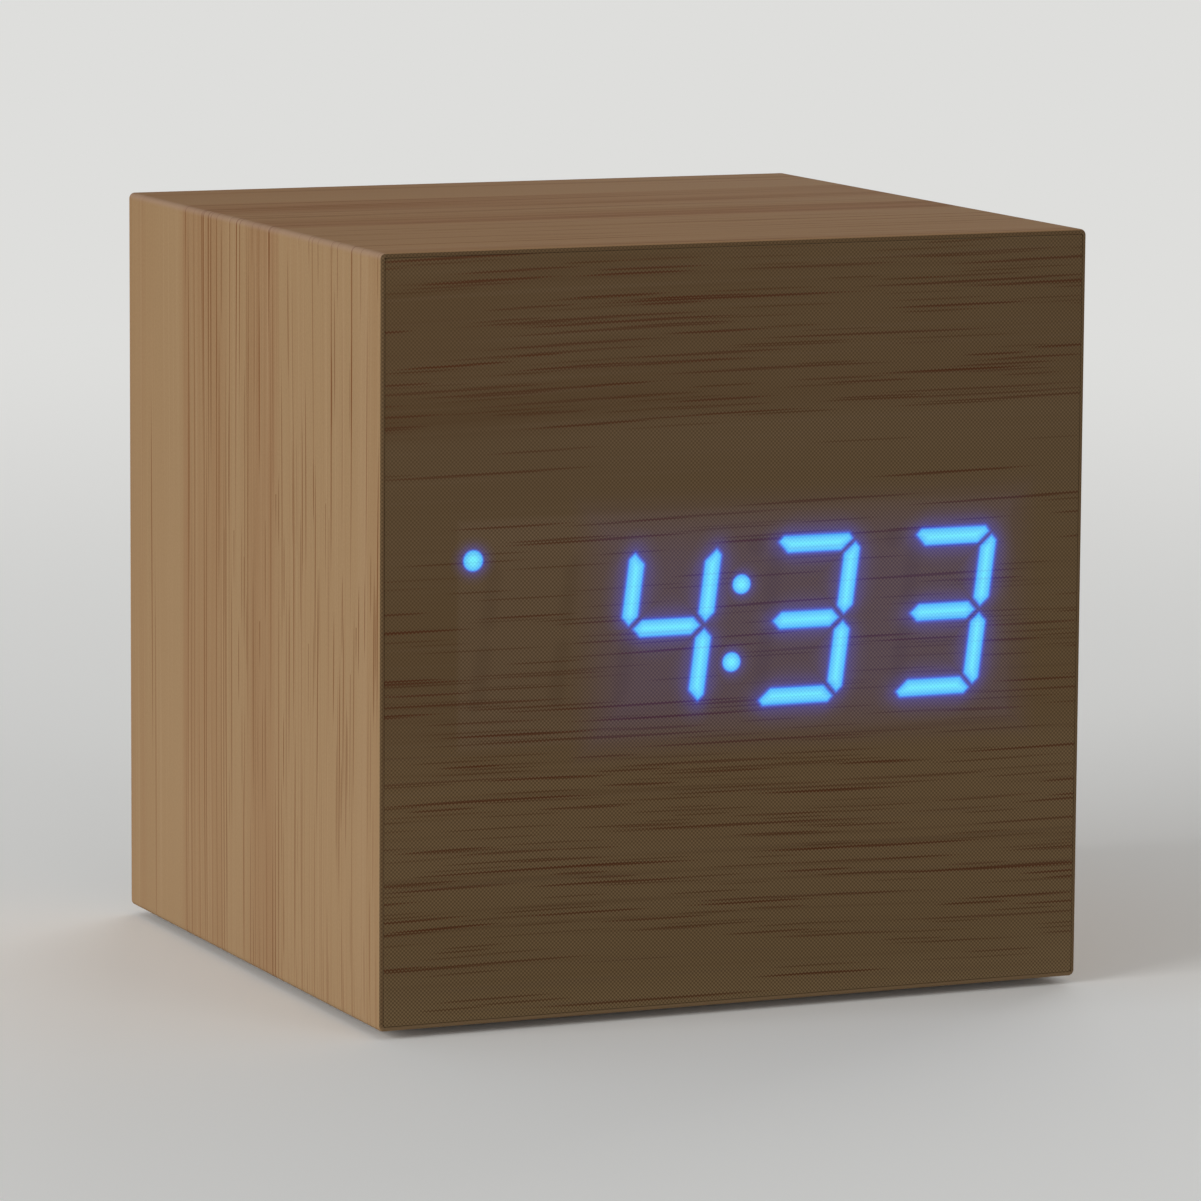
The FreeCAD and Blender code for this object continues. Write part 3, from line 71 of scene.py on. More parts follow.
class Finish:
    """A material in the making, with short ways to add the nodes that feed its shader."""

    def __init__(self, name, roughness=0.5, **sockets):
        self.material = bpy.data.materials.new(name)
        self.material.use_nodes = True
        self.tree = self.material.node_tree
        self.shader = self.tree.nodes["Principled BSDF"]
        self.shader.inputs["Roughness"].default_value = roughness
        for socket, value in sockets.items():
            self.shader.inputs[socket.replace("_", " ")].default_value = value

    def feed(self, socket, value):
        if isinstance(value, bpy.types.NodeSocket):
            self.tree.links.new(value, socket)
        elif socket.type == "RGBA":
            socket.default_value = (*value, 1)
        else:
            socket.default_value = value

    def node(self, kind, named=None, output=0, **settings):
        node = self.tree.nodes.new("ShaderNode" + kind)
        for setting, value in settings.items():
            setattr(node, setting, value)
        for name, value in (named or {}).items():
            self.feed(node.inputs[name], value)
        return node.outputs[output]

    def math(self, operation, first, second=0.0, third=0.0):
        return self.node("Math", {0: first, 1: second, 2: third}, operation=operation)

    def add(self, first, *others):
        for other in others:
            first = self.math("ADD", first, other)
        return first

    def less(self, first, *others):
        for other in others:
            first = self.math("SUBTRACT", first, other)
        return first

    def times(self, first, *others):
        for other in others:
            first = self.math("MULTIPLY", first, other)
        return first

    def lowest(self, first, *others):
        for other in others:
            first = self.math("MINIMUM", first, other)
        return first

    def highest(self, first, *others):
        for other in others:
            first = self.math("MAXIMUM", first, other)
        return first

    def away(self, value, middle=None):
        """How far a value lies from a middle, or else from 0, to either side."""
        return self.math("ABSOLUTE", value if middle is None else self.less(value, middle))

    def remainder(self, share):
        """What a share leaves of 1."""
        return self.less(1.0, share)

    def span(self, share, low, high):
        """A number that goes evenly from low to high as a share goes from 0 to 1."""
        return self.math("MULTIPLY_ADD", share, high - low, low)

    def rise(self, value, start, end, low=0.0, high=1.0):
        """A smooth step from low at start to high at end."""
        return self.node(
            "MapRange",
            {"Value": value, "From Min": start, "From Max": end, "To Min": low, "To Max": high},
            interpolation_type="SMOOTHSTEP",
        )

    def point(self, x, y, z=0.0):
        return self.node("CombineXYZ", {0: x, 1: y, 2: z})

    def parts(self, vector):
        """The three numbers of a vector."""
        apart = self.tree.nodes.new("ShaderNodeSeparateXYZ")
        self.feed(apart.inputs[0], vector)
        return apart.outputs[0], apart.outputs[1], apart.outputs[2]

    def length(self, x, y):
        return self.node("VectorMath", {0: self.point(x, y)}, output=1, operation="LENGTH")

    def crossed(self, x, y, pitch):
        """Two waves on a pitch in millimetres that cross, from -1 to 1."""
        turns = 2 * pi / pitch
        return self.times(
            self.math("SINE", self.times(x, turns)), self.math("SINE", self.times(y, turns))
        )

    def noise(self, where, scale=1.0, detail=2.0, roughness=0.5):
        return self.node(
            "TexNoise", {"Vector": where, "Scale": scale, "Detail": detail, "Roughness": roughness}
        )

    def mix(self, share, first, second, blend="MIX"):
        return self.node(
            "Mix", {0: share, 6: first, 7: second}, output=2, data_type="RGBA", blend_type=blend
        )

    def ramp(self, value, stops):
        ramp = self.tree.nodes.new("ShaderNodeValToRGB")
        self.feed(ramp.inputs[0], value)
        points = ramp.color_ramp.elements
        while len(points) < len(stops):
            points.new(1)
        for point, (place, colour) in zip(points, stops):
            point.position = place
            point.color = (*colour, 1) if isinstance(colour, tuple) else (colour, colour, colour, 1)
        return ramp.outputs[0]

    def clouded(self, noise, dark, light):
        """Two tones, each given from 0 to 255, that a noise blends."""
        return self.ramp(noise, [(NOISE_LOW, linear(*dark)), (NOISE_HIGH, linear(*light))])

    def speckled(self, tone, noise, darkest):
        """A tone that a noise darkens in its hollows."""
        shade = self.ramp(noise, [(NOISE_LOW, darkest), (NOISE_HIGH, 1.0)])
        return self.mix(1.0, tone, shade, "MULTIPLY")

    def between(self, noise, low, high):
        """A number that a noise moves between low and high."""
        return self.rise(noise, NOISE_LOW, NOISE_HIGH, low, high)

    def millimetres(self):
        """The place on the object in millimetres, as a vector and as x, y and z."""
        place = self.node(
            "VectorMath",
            {0: self.node("TexCoord", output=3), 3: 1 / MM},
            operation="SCALE",
        )
        return place, *self.parts(place)

    def colour(self, value):
        self.feed(self.shader.inputs["Base Color"], value)

    def rough(self, value):
        self.feed(self.shader.inputs["Roughness"], value)

    def relief(self, height, depth):
        """Bumps of a height from 0 to 1, depth in millimetres."""
        bump = self.node("Bump", {"Height": height, "Distance": depth * MM, "Strength": 1.0})
        self.feed(self.shader.inputs["Normal"], bump)


# The print of the wood-look films: soft fibres, drawn strokes, and a screen of dots on lines at 45 degrees

STRIP_SPAN = 62
SCREEN_PITCH = 0.33
DOT_EDGE = 0.35
STROKE_EDGE = 0.04


def fibre_lines(film, along, across, seed, length, width, low, high, detail=0.0):
    """Soft streaks of the print, in cells of length by width millimetres, as a share from 0 to 1."""
    where = film.point(film.times(along, 1 / length), film.times(across, 1 / width), seed)
    return film.rise(film.noise(where, 1.0, detail, 0.5), low, high)


def strokes(film, along, across, seed, length, pitch, width, share, teeth=0.0):
    """Straight strokes of ink that taper to both ends, at most one to a cell of length by pitch.

    A cell draws by chance whether it has a stroke, on which line of its row, and how long it is.
    """
    up = film.times(across, 1 / pitch)
    row = film.math("FLOOR", up)
    shift = film.node("TexWhiteNoise", {"Vector": film.point(row, seed, 0.5)})
    run = film.add(film.times(along, 1 / length), shift)
    cell = film.math("FLOOR", run)
    draw = film.node("TexWhiteNoise", {"Vector": film.point(row, cell, seed)}, output=1)
    chance, place, size = film.parts(draw)
    shown = film.math("LESS_THAN", chance, share)
    off_line = film.times(film.less(up, row, film.span(place, 0.75, 0.25)), pitch)
    reach = film.span(size, 0.2, 0.46)
    from_middle = film.math("DIVIDE", film.less(run, cell, 0.5), reach)
    taper = film.highest(film.remainder(film.times(from_middle, from_middle)), 0.0)
    outside = film.add(film.away(off_line), film.times(taper, -width / 2), teeth)
    ink = film.times(film.lowest(film.times(taper, 1.6), 1.0), film.span(place, 0.4, 1.0))
    return film.times(film.rise(outside, STROKE_EDGE, -STROKE_EDGE), shown, ink)


def swaying(film, along, across, seed, reach):
    """The place across the grain, with the slow bends of the fibres in it."""
    where = film.point(film.times(along, 0.025), film.times(across, 0.06), seed)
    sway = film.noise(where, 1.0, 0.0)
    return film.times(film.add(sway, -0.5), reach)


def patched(film, along, across, stretch, seed, tone, light):
    """A tone with lighter patches that are long in the grain."""
    where = film.point(film.times(along, stretch[0]), film.times(across, stretch[1]), seed)
    return film.mix(film.rise(film.noise(where, 1.0, 2.0), 0.35, 0.7, 0.0, 0.45), tone, light)


# The side film, on a strip that runs round the case


def side_ground(film, along, across, share):
    """Bands of tone across the strip."""
    light, pale, plain = linear(159, 130, 96), linear(163, 134, 101), linear(156, 126, 92)
    warm, red = linear(152, 120, 87), linear(149, 115, 83)
    bands = film.ramp(
        share,
        [
            (0.000, warm), (0.030, plain), (0.052, warm), (0.070, plain), (0.200, light), (0.219, plain),
            (0.226, red), (0.262, warm), (0.375, warm), (0.395, light), (0.448, light), (0.475, plain),
            (0.490, warm), (0.570, red), (0.600, light), (0.880, light), (0.915, pale), (0.930, plain),
            (0.960, plain), (1.000, light),
        ],
    )
    return patched(film, along, across, (0.03, 0.16), 9.0, bands, light)


def side_print(film, along, across):
    """The print of the strip: its tone, and how much ink of the long lines and soft fibres is in it."""
    share = film.times(across, 1 / STRIP_SPAN)
    lined = film.ramp(
        share,
        [
            (0.00, 0.15), (0.21, 0.05), (0.23, 0.9), (0.30, 0.7), (0.33, 0.9), (0.38, 0.9),
            (0.40, 0.5), (0.47, 0.5), (0.50, 0.9), (0.59, 1.0), (0.62, 0.25), (0.90, 0.15), (0.94, 0.3),
        ],
    )
    dashed = film.ramp(
        share, [(0.00, 0.0), (0.21, 0.0), (0.30, 0.2), (0.42, 0.8), (0.60, 0.9), (0.70, 1.0), (0.97, 0.9)]
    )
    dashed = film.times(dashed, film.rise(along, 25, -15, 0.8, 1.6))
    tone = side_ground(film, along, across, share)
    soft = fibre_lines(film, along, across, 1.0, 120, 0.9, 0.45, 0.75, 1.0)
    tone = film.mix(film.times(soft, lined, 0.24), tone, linear(145, 106, 72))
    fine = fibre_lines(film, along, across, 5.0, 110, 0.26, 0.56, 0.7)
    hair = film.highest(lined, film.times(dashed, 0.7))
    tone = film.mix(film.times(fine, hair, 0.27), tone, linear(138, 98, 65))
    line = film.highest(
        strokes(film, along, across, 5.0, 95, 0.62, 0.2, film.times(lined, 0.8)),
        strokes(film, along, film.add(across, 0.29), 29.0, 60, 0.71, 0.17, film.times(lined, 0.5)),
    )
    tone = film.mix(film.times(line, 0.9), tone, linear(106, 52, 12))
    dash = film.highest(
        strokes(film, along, across, 11.0, 30, 0.75, 0.2, film.times(dashed, 0.32)),
        strokes(film, along, across, 31.0, 15, 0.62, 0.17, film.times(dashed, 0.2)),
    )
    tone = film.mix(film.times(dash, film.rise(along, 30, 5, 0.62, 0.9)), tone, linear(102, 50, 12))
    shine = fibre_lines(film, along, across, 17.0, 45, 0.26, 0.58, 0.8)
    tone = film.mix(film.times(shine, 0.42), tone, linear(170, 141, 108))
    return tone, line, soft


def rim_in_front_shade(film, x, z):
    """The edge of the strip that lies on the front, printed with the front's dots and given the front's
    darker tone as painted shade.
    """
    screen = film.crossed(x, film.less(CASE_TOP, z), SCREEN_PITCH)
    dots = film.rise(screen, -DOT_EDGE, DOT_EDGE)
    # Painted shade: the rim's two tones are the front face's shaded ones.
    rim = film.mix(dots, linear(106, 86, 62), linear(80, 62, 42))
    # Near the floor and at the right-hand edge the side's own tone comes back.
    low = film.rise(z, FOOT_HEIGHT + 0.6, FOOT_HEIGHT + 0.05, 0.0, 0.85)
    far = film.rise(x, CASE_WIDTH / 2 - 0.55, CASE_WIDTH / 2 - 0.35, 0.0, 0.2)
    return film.mix(film.highest(low, far), rim, linear(145, 120, 90))


def make_side_film_finish():
    """The print on the strip's own map, redder on the top; lightened towards the bottom of the sides as
    painted light, lightened on the two upper edges as a painted highlight, and darkened where it turns onto
    the front as painted shade.
    """
    film = Finish("wood_look_side_film", 0.78, Specular_IOR_Level=0.1, IOR=1.12)
    strip = film.tree.nodes.new("ShaderNodeUVMap")
    strip.uv_map = "strip"
    along, depth, _ = film.parts(strip.outputs[0])
    across = film.add(depth, swaying(film, along, depth, 3.0, 0.9))
    tone, line, soft = side_print(film, along, across)

    grit = film.noise(film.point(film.times(along, 4.2), film.times(across, 4.8), 1.0), 1.0, 1.0)
    tone = film.speckled(tone, grit, 0.93)
    from_crown = film.away(along, CASE_TOP)
    crown = film.rise(from_crown, CASE_WIDTH / 2 + 1, CASE_WIDTH / 2 - 1)
    tone = film.mix(crown, tone, (0.975, 0.90, 0.88), "MULTIPLY")
    # Painted highlight: the two upper edges are lightened to a cool pale tone, as a sheen on their rounding.
    painted_edge_highlight = film.rise(film.away(from_crown, CASE_WIDTH / 2), 0.7, 0.1)
    tone = film.mix(film.times(painted_edge_highlight, 0.45), tone, linear(160, 136, 121))
    # Painted light: the strip is lightened towards the bottom of the sides and on the underside, where the
    # floor takes light away.
    painted_light_lift = film.rise(from_crown, 34, 98)
    tone = film.mix(film.times(painted_light_lift, 0.3), tone, linear(176, 146, 112))
    # Where the strip turns onto the front it takes the painted shade of the rim.
    turned = film.rise(depth, CASE_DEPTH - 0.14, CASE_DEPTH - 0.06)
    _, x, _, z = film.millimetres()
    film.colour(film.mix(film.times(turned, 0.95), tone, rim_in_front_shade(film, x, z)))

    film.rough(film.rise(film.add(line, film.times(grit, 0.5)), 0.2, 1.3, 0.74, 0.86))
    film.relief(film.add(film.times(line, -0.6), film.times(grit, 0.25), film.times(soft, -0.3)), 0.012)
    return film.material


# The display as it shows through the front film, in millimetres; every digit folds to its upper right corner

DIGIT_COUNT = 4
DIGIT_PITCH = 12.7
DISPLAY_SHIFT = -0.15
DISPLAY_MIDDLE = 32.9
LEAN = tan(radians(7.5))
WINDOW_WIDTH, WINDOW_HEIGHT, WINDOW_MIDDLE = 50.3, 19, 33.1
STROKE = 1.38
TOP_BAR, UPRIGHT_BAR = 6.37, 3.46
INNER_MITRE, OUTER_MITRE, MIDDLE_MITRE = 3.24, 8.64, 2.993
UPRIGHT_FOOT, UPRIGHT_INNER_MITRE, UPRIGHT_OUTER_MITRE = 0.33, 2.58, 9.96
OUTER_SLOPE = 0.8
# Each dot: its place from the middle of the display, and its diameter
LIT_DOTS = ((-23.81, 6.4, 1.7), (0.28, 3.24, 1.6), (-0.58, -3.24, 1.6))
UNLIT_DOTS = ((1.59, 6.4, 1.7), (14.29, 6.4, 1.7))
FAR = 40.0
GLOW_FROM, GLOW_TO = -0.74, 2.26
HAZE_MIDDLE, HAZE_WIDTH, HAZE_HEIGHT = 6.3, 35.0, 15.0


def dot_distance(film, x, z, at_x, at_z, diameter):
    """How far a point lies outside a dot, drawn out a little because a dot glows less than a bar."""
    length = film.length(film.add(x, -at_x), film.add(z, -at_z))
    outside = film.times(film.add(length, -diameter / 2), 1.2)
    return film.math("MULTIPLY_ADD", film.highest(outside, 0.0), 0.5, outside)


def joined(film, first, *others):
    """How far a point lies outside several edges together: negative within them all."""
    for other in others:
        outside = film.length(film.highest(first, 0.0), film.highest(other, 0.0))
        within = film.lowest(film.math("SMOOTH_MAX", first, other, 0.1), 0.0)
        first = film.add(outside, within)
    return first


def bar_distances(film, x, z):
    """How far a point lies outside the top bar, the middle bar and the upright of one digit."""
    slope, outer_slope = 2**-0.5, 1 / hypot(1, OUTER_SLOPE)
    half = STROKE / 2
    top = joined(
        film,
        film.add(film.away(z, TOP_BAR), -half),
        film.times(film.add(film.less(x, z), INNER_MITRE), slope),
        film.times(film.add(x, film.times(z, OUTER_SLOPE), -OUTER_MITRE), outer_slope),
    )
    middle = joined(
        film,
        film.times(film.add(x, z, -MIDDLE_MITRE), slope),
        film.times(film.less(x, z, MIDDLE_MITRE), slope),
        film.add(z, -half),
    )
    off_centre = film.away(x, UPRIGHT_BAR)
    upright = joined(
        film,
        film.times(film.add(film.less(off_centre, z), UPRIGHT_FOOT), slope),
        film.times(film.less(UPRIGHT_FOOT, off_centre, z), slope),
        film.add(off_centre, -half),
        film.times(film.less(z, x, UPRIGHT_INNER_MITRE), slope),
        film.times(film.add(z, x, -UPRIGHT_OUTER_MITRE), slope),
    )
    return top, middle, upright


def display_distances(film, x, z):
    """Distances to the nearest lit shape and to the nearest unlit one; what doesn't count is put far off."""
    height = film.add(z, -DISPLAY_MIDDLE)
    run = film.add(film.math("MULTIPLY_ADD", height, -LEAN, x), -DISPLAY_SHIFT)
    cell = film.add(film.times(run, 1 / DIGIT_PITCH), DIGIT_COUNT / 2)
    digit = film.math("FLOOR", cell)
    local = film.times(film.less(cell, digit, 0.5), DIGIT_PITCH)
    top, middle, upright = bar_distances(film, film.away(local), film.away(height))
    on_display = film.math("LESS_THAN", film.away(run), DIGIT_COUNT / 2 * DIGIT_PITCH)
    from_second = film.times(film.math("GREATER_THAN", digit, 0.5), on_display)
    from_third = film.times(film.math("GREATER_THAN", digit, 1.5), on_display)
    second_only = film.less(from_second, from_third)
    right = film.math("GREATER_THAN", local, 0.0)
    above = film.math("GREATER_THAN", height, 0.0)
    upright_lit = film.add(
        film.times(right, from_second), film.times(film.remainder(right), above, second_only)
    )
    lit = [
        film.add(distance, film.times(film.remainder(shown), FAR))
        for distance, shown in ((top, from_third), (middle, from_second), (upright, upright_lit))
    ]
    unlit = [film.add(upright, film.times(upright_lit, FAR))]
    lit += [dot_distance(film, x, height, *dot) for dot in LIT_DOTS]
    unlit += [dot_distance(film, x, height, *dot) for dot in UNLIT_DOTS]
    return film.lowest(*lit), film.lowest(*unlit)


def within_window(film, x, z):
    """1 where the clock module lies behind the film."""
    side = film.add(film.away(x), -WINDOW_WIDTH / 2)
    end = film.add(film.away(z, WINDOW_MIDDLE), -WINDOW_HEIGHT / 2)
    return film.rise(film.highest(side, end), 0.3, -0.35)


def display_light(film, x, z, lit, dots, streaks):
    """The light that comes through the film: digits, their halo and a haze, dimmed by the print."""
    glow = film.ramp(
        film.node("MapRange", {"Value": lit, "From Min": GLOW_FROM, "From Max": GLOW_TO}),
        [
            (0.003, (0.09, 0.80, 0.96)),
            (0.127, (0.055, 0.60, 0.95)),
            (0.212, (0.014, 0.47, 0.97)),
            (0.258, (0.001, 0.145, 0.76)),
            (0.300, (0.003, 0.035, 0.34)),
            (0.360, (0.004, 0.015, 0.15)),
            (0.433, (0.005, 0.010, 0.100)),
            (0.553, (0.005, 0.007, 0.060)),
            (0.667, (0.003, 0.004, 0.027)),
            (0.800, (0.001, 0.002, 0.012)),
            (1.000, (0.0, 0.0, 0.0)),
        ],
    )
    open_screen = film.remainder(film.times(dots, 0.09))
    light = film.mix(1.0, glow, film.mix(open_screen, DARK, WHITE), "MULTIPLY")
    within = film.rise(lit, 0.05, -0.3)
    light = film.mix(film.times(streaks, within, 0.22), light, (0.20, 0.36, 0.85))
    past_side = film.add(film.away(x, HAZE_MIDDLE), -HAZE_WIDTH / 2)
    past_end = film.add(film.away(z, DISPLAY_MIDDLE), -HAZE_HEIGHT / 2)
    haze = film.times(film.rise(film.highest(past_side, past_end), 4.5, -3.0), 0.042)
    return film.mix(1.0, light, film.mix(haze, DARK, (0.14, 0.16, 1.0)), "ADD")


# The front film


def front_ground(film, x, down, across, share):
    """Bands of tone down the front, set darker than the side film's as painted shade of the front face, and
    lighter towards the right and the foot as painted light.
    """
    # Painted shade: these bands are the front face's shaded tones of the wood print.
    bands = film.ramp(
        share,
        [
            (0.000, linear(101, 79, 52)),
            (0.205, linear(99, 76, 50)),
            (0.235, linear(105, 84, 59)),
            (0.340, linear(105, 84, 58)),
            (0.500, linear(105, 83, 56)),
            (0.600, linear(103, 80, 53)),
            (0.780, linear(105, 82, 55)),
            (0.880, linear(102, 80, 52)),
            (1.000, linear(107, 86, 57)),
        ],
    )
    tone = patched(film, x, across, (0.025, 0.14), 2.0, bands, linear(111, 90, 65))
    # Painted light: lighter towards the foot and the right, where the lamps fall off.
    painted_light_lift = film.times(film.rise(down, 14, 64), film.rise(x, -40, 34, 0.55, 1.0))
    tone = film.mix(film.times(painted_light_lift, 0.28), tone, linear(130, 107, 78))
    # Painted light: lighter towards the right, in the lower half and along the foot.
    painted_light_right_and_foot = film.highest(film.rise(x, -28, 20, 0.0, 0.16), film.rise(down, 37, 45, 0.0, 0.25))
    painted_light_right_and_foot = film.add(painted_light_right_and_foot, film.rise(down, 60, 64, 0.0, 0.16))
    return film.mix(painted_light_right_and_foot, tone, linear(150, 126, 92))


def make_front_film_finish():
    """The front's print in a screen of dots, with the clock module faint behind it and its light on it; its
    tones are darker than the side film's, partly from the dot screen and partly as painted shade.
    """
    film = Finish("wood_look_front_film", 0.6, Specular_IOR_Level=0.15, IOR=1.35)
    _, x, _, z = film.millimetres()
    down = film.less(CASE_TOP, z)
    tilt = film.times(x, film.rise(down, 20, 45, 0.018, -0.006))
    across = film.add(down, tilt, swaying(film, x, down, 6.0, 1.0))
    share = film.times(across, 1 / CASE_HEIGHT)
    dashed = film.ramp(
        share,
        [
            (0.00, 0.85), (0.14, 0.9), (0.17, 1.0), (0.22, 1.0), (0.235, 0.15), (0.33, 0.12), (0.36, 0.5),
            (0.48, 0.45), (0.53, 1.0), (0.70, 0.8), (0.74, 1.0), (0.89, 1.0), (0.93, 0.45), (1.0, 0.2),
        ],
    )
    tone = front_ground(film, x, down, across, share)
    soft = fibre_lines(film, x, across, 3.0, 44, 0.55, 0.52, 0.78, 1.0)
    tone = film.mix(film.times(soft, dashed, 0.35), tone, linear(92, 66, 42))
    lit, unlit = display_distances(film, x, z)
    window = within_window(film, x, z)
    tone = film.mix(film.times(window, 0.48), tone, linear(122, 101, 80))
    tone = film.mix(film.times(film.rise(unlit, 0.5, -0.5), window, 0.18), tone, linear(70, 50, 38))

    screen = film.crossed(x, down, SCREEN_PITCH)
    teeth = film.times(screen, -0.07)
    fine = strokes(film, x, across, 8.0, 15, 0.36, 0.15, film.times(dashed, 0.5), teeth)
    tone = film.mix(film.times(fine, 0.4), tone, linear(90, 60, 36))
    in_crowd = film.rise(film.away(across, 13.0), 2.4, 1.2)
    crowd = film.times(dashed, film.rise(in_crowd, 0.0, 1.0, 1.0, 1.7))
    dash = film.highest(
        strokes(film, x, across, 13.0, 30, 0.5, 0.21, film.times(crowd, 0.29), teeth),
        strokes(film, x, across, 37.0, 15, 0.43, 0.18, film.times(crowd, 0.25), teeth),
    )
    tone = film.mix(film.times(dash, 0.62), tone, linear(86, 40, 18))
    shine = fibre_lines(film, x, across, 19.0, 34, 0.5, 0.58, 0.82)
    tone = film.mix(film.times(shine, 0.3), tone, linear(116, 95, 72))
    streaks = film.add(film.times(fine, 0.5), film.times(dash, 0.9))
    dots = film.rise(film.add(screen, film.times(streaks, 0.9)), -DOT_EDGE, DOT_EDGE)
    ink = film.mix(streaks, linear(77, 58, 36), linear(76, 38, 17))
    film.colour(film.mix(film.times(dots, 0.72), tone, ink))

    light = display_light(film, x, z, lit, dots, streaks)
    film.feed(film.shader.inputs["Emission Color"], light)
    film.shader.inputs["Emission Strength"].default_value = 1.0
    grit = film.noise(film.point(film.times(x, 5.0), film.times(down, 6.0), 1.0), 1.0, 1.0)
    film.rough(film.rise(film.add(fine, film.times(grit, 0.5)), 0.2, 1.3, 0.56, 0.7))
    film.relief(film.add(film.times(fine, -0.5), film.times(grit, 0.3), film.times(dash, -0.5)), 0.012)
    return film.material


# Finishes of the case, the back and the inside

MITRE_GLUE = 0.16
WEAVE_PITCH = 0.45
CAN_TOP = -12.75
CAN_STRIPE_MIDDLE, CAN_STRIPE_REACH = 18.2, 0.55
CELL_DIAMETER, CELL_LENGTH, CELL_Y = 10.5, 44.5, 21.55
SHOULDER_END, RING_END = 11.2, 12.2
PLUS_PLACE, MINUS_PLACE = 6.2, 38.5
MARK_LENGTH, MARK_WIDTH = 3.0, 0.64


def make_board_finish():
    """Raw fibre board, with the glued mitres of the case corners as thin dark lines at its back edge."""
    board = Finish("fibre_board_raw", 0.85, Specular_IOR_Level=0.2)
    place, x, y, z = board.millimetres()
    fibres = board.noise(place, 2.6, 6.0, 0.8)
    flecks = board.noise(place, 7.0, 3.0, 0.6)
    tone = board.ramp(
        fibres,
        [
            (0.30, linear(168, 138, 102)),
            (0.48, linear(186, 156, 118)),
            (0.60, linear(200, 170, 132)),
            (0.75, linear(212, 186, 150)),
        ],
    )
    tone = board.mix(board.rise(flecks, 0.58, 0.72, 0.0, 0.6), tone, linear(128, 94, 62))
    off_mitre = board.away(board.away(x), board.away(z, CASE_MIDDLE))
    at_back = board.math("GREATER_THAN", y, BACK - 0.05)
    glue = board.times(board.rise(off_mitre, MITRE_GLUE, 0.05), at_back)
    board.colour(board.mix(board.times(glue, 0.75), tone, linear(84, 60, 40)))
    board.relief(board.add(fibres, flecks, board.times(glue, -2)), 0.05)
    return board.material


def make_foam_finish():
    """Black foam with open cells."""
    foam = Finish("foot_foam_black", 0.95, Specular_IOR_Level=0.2)
    place = foam.millimetres()[0]
    cells = foam.node("TexVoronoi", {"Vector": place, "Scale": 4.0})
    foam.colour(foam.ramp(cells, [(0.0, linear(26, 26, 28)), (0.5, linear(44, 44, 46))]))
    foam.relief(cells, 0.06)
    return foam.material


def make_moulded_finish(name, dark, light, roughness, grain, depth):
    """A moulded plastic with a fine eroded grain and slow changes of tone."""
    plastic = Finish(name, roughness)
    place = plastic.millimetres()[0]
    clouds = plastic.noise(place, 0.12, 3.0, 0.6)
    pits = plastic.noise(place, 1 / grain, 2.0, 0.6)
    plastic.colour(plastic.speckled(plastic.clouded(clouds, dark, light), pits, 0.86))
    plastic.rough(plastic.between(pits, roughness - 0.07, roughness + 0.07))
    plastic.relief(pits, depth)
    return plastic.material


def make_metal_finish(name, dark, light, roughness, stretch=(1, 1, 1)):
    """A plated metal with fine drawn scratches and a little tarnish."""
    metal = Finish(name, roughness, Metallic=1.0)
    place, *axes = metal.millimetres()
    drawn = metal.point(*(metal.times(axis, scale) for axis, scale in zip(axes, stretch)))
    scratches = metal.noise(drawn, 3.0, 4.0, 0.65)
    stains = metal.noise(place, 0.35, 3.0, 0.6)
    metal.colour(metal.speckled(metal.clouded(stains, dark, light), scratches, 0.88))
    metal.rough(metal.between(scratches, roughness - 0.08, roughness + 0.1))
    metal.relief(scratches, 0.006)
    return metal.material


def make_insulation_finish(name, dark, light):
    """The soft cover of a lead, mottled and a little dusty."""
    cover = Finish(name, 0.42)
    place = cover.millimetres()[0]
    mottle = cover.noise(place, 0.9, 2.0)
    dust = cover.noise(place, 7.0, 2.0)
    cover.colour(cover.clouded(mottle, dark, light))
    cover.rough(cover.between(dust, 0.34, 0.5))
    cover.relief(dust, 0.01)
    return cover.material


def make_circuit_finish():
    """Solder mask over copper runs, with the glass weave just showing."""
    board = Finish("circuit_board_green", 0.32)
    _, x, _, z = board.millimetres()
    runs = board.node(
        "TexBrick",
        {
            "Vector": board.point(x, z),
            "Color1": WHITE,
            "Color2": (0.8, 0.8, 0.8),
            "Mortar": DARK,
            "Scale": 1.0,
            "Mortar Size": 0.16,
            "Mortar Smooth": 0.1,
            "Brick Width": 5.3,
            "Row Height": 0.94,
        },
        offset=0.37,
        offset_frequency=3,
        squash=0.55,
        squash_frequency=2,
    )
    sectors = board.noise(board.point(board.times(x, 0.11), board.times(z, 0.13), 4.0), 1.0, 1.0)
    routed = board.math("GREATER_THAN", sectors, 0.5)
    copper = board.mix(routed, WHITE, runs)
    weave = board.crossed(x, z, WEAVE_PITCH)
    tone = board.mix(copper, linear(10, 66, 38), linear(22, 98, 56))
    board.colour(board.mix(board.rise(weave, -1, 1, 0.0, 0.12), tone, linear(60, 120, 70)))
    board.rough(board.rise(weave, -1, 1, 0.28, 0.4))
    board.relief(board.add(copper, board.times(weave, 0.15)), 0.035)
    return board.material


def make_capacitor_finish():
    """A dark sleeve with a pale stripe, shrunk over an aluminium can whose top shows."""
    can = Finish("capacitor_sleeve", 0.35)
    place, _, y, z = can.millimetres()
    bare = can.math("GREATER_THAN", y, CAN_TOP)
    stripe = can.math("COMPARE", z, CAN_STRIPE_MIDDLE, CAN_STRIPE_REACH)
    dirt = can.noise(place, 2.5, 3.0)
    sleeve = can.mix(stripe, linear(24, 26, 40), linear(150, 154, 160))
    tone = can.mix(bare, sleeve, linear(196, 198, 202))
    can.colour(can.speckled(tone, dirt, 0.88))
    can.feed(can.shader.inputs["Metallic"], bare)
    can.rough(can.between(dirt, 0.28, 0.42))
    can.relief(dirt, 0.01)
    return can.material


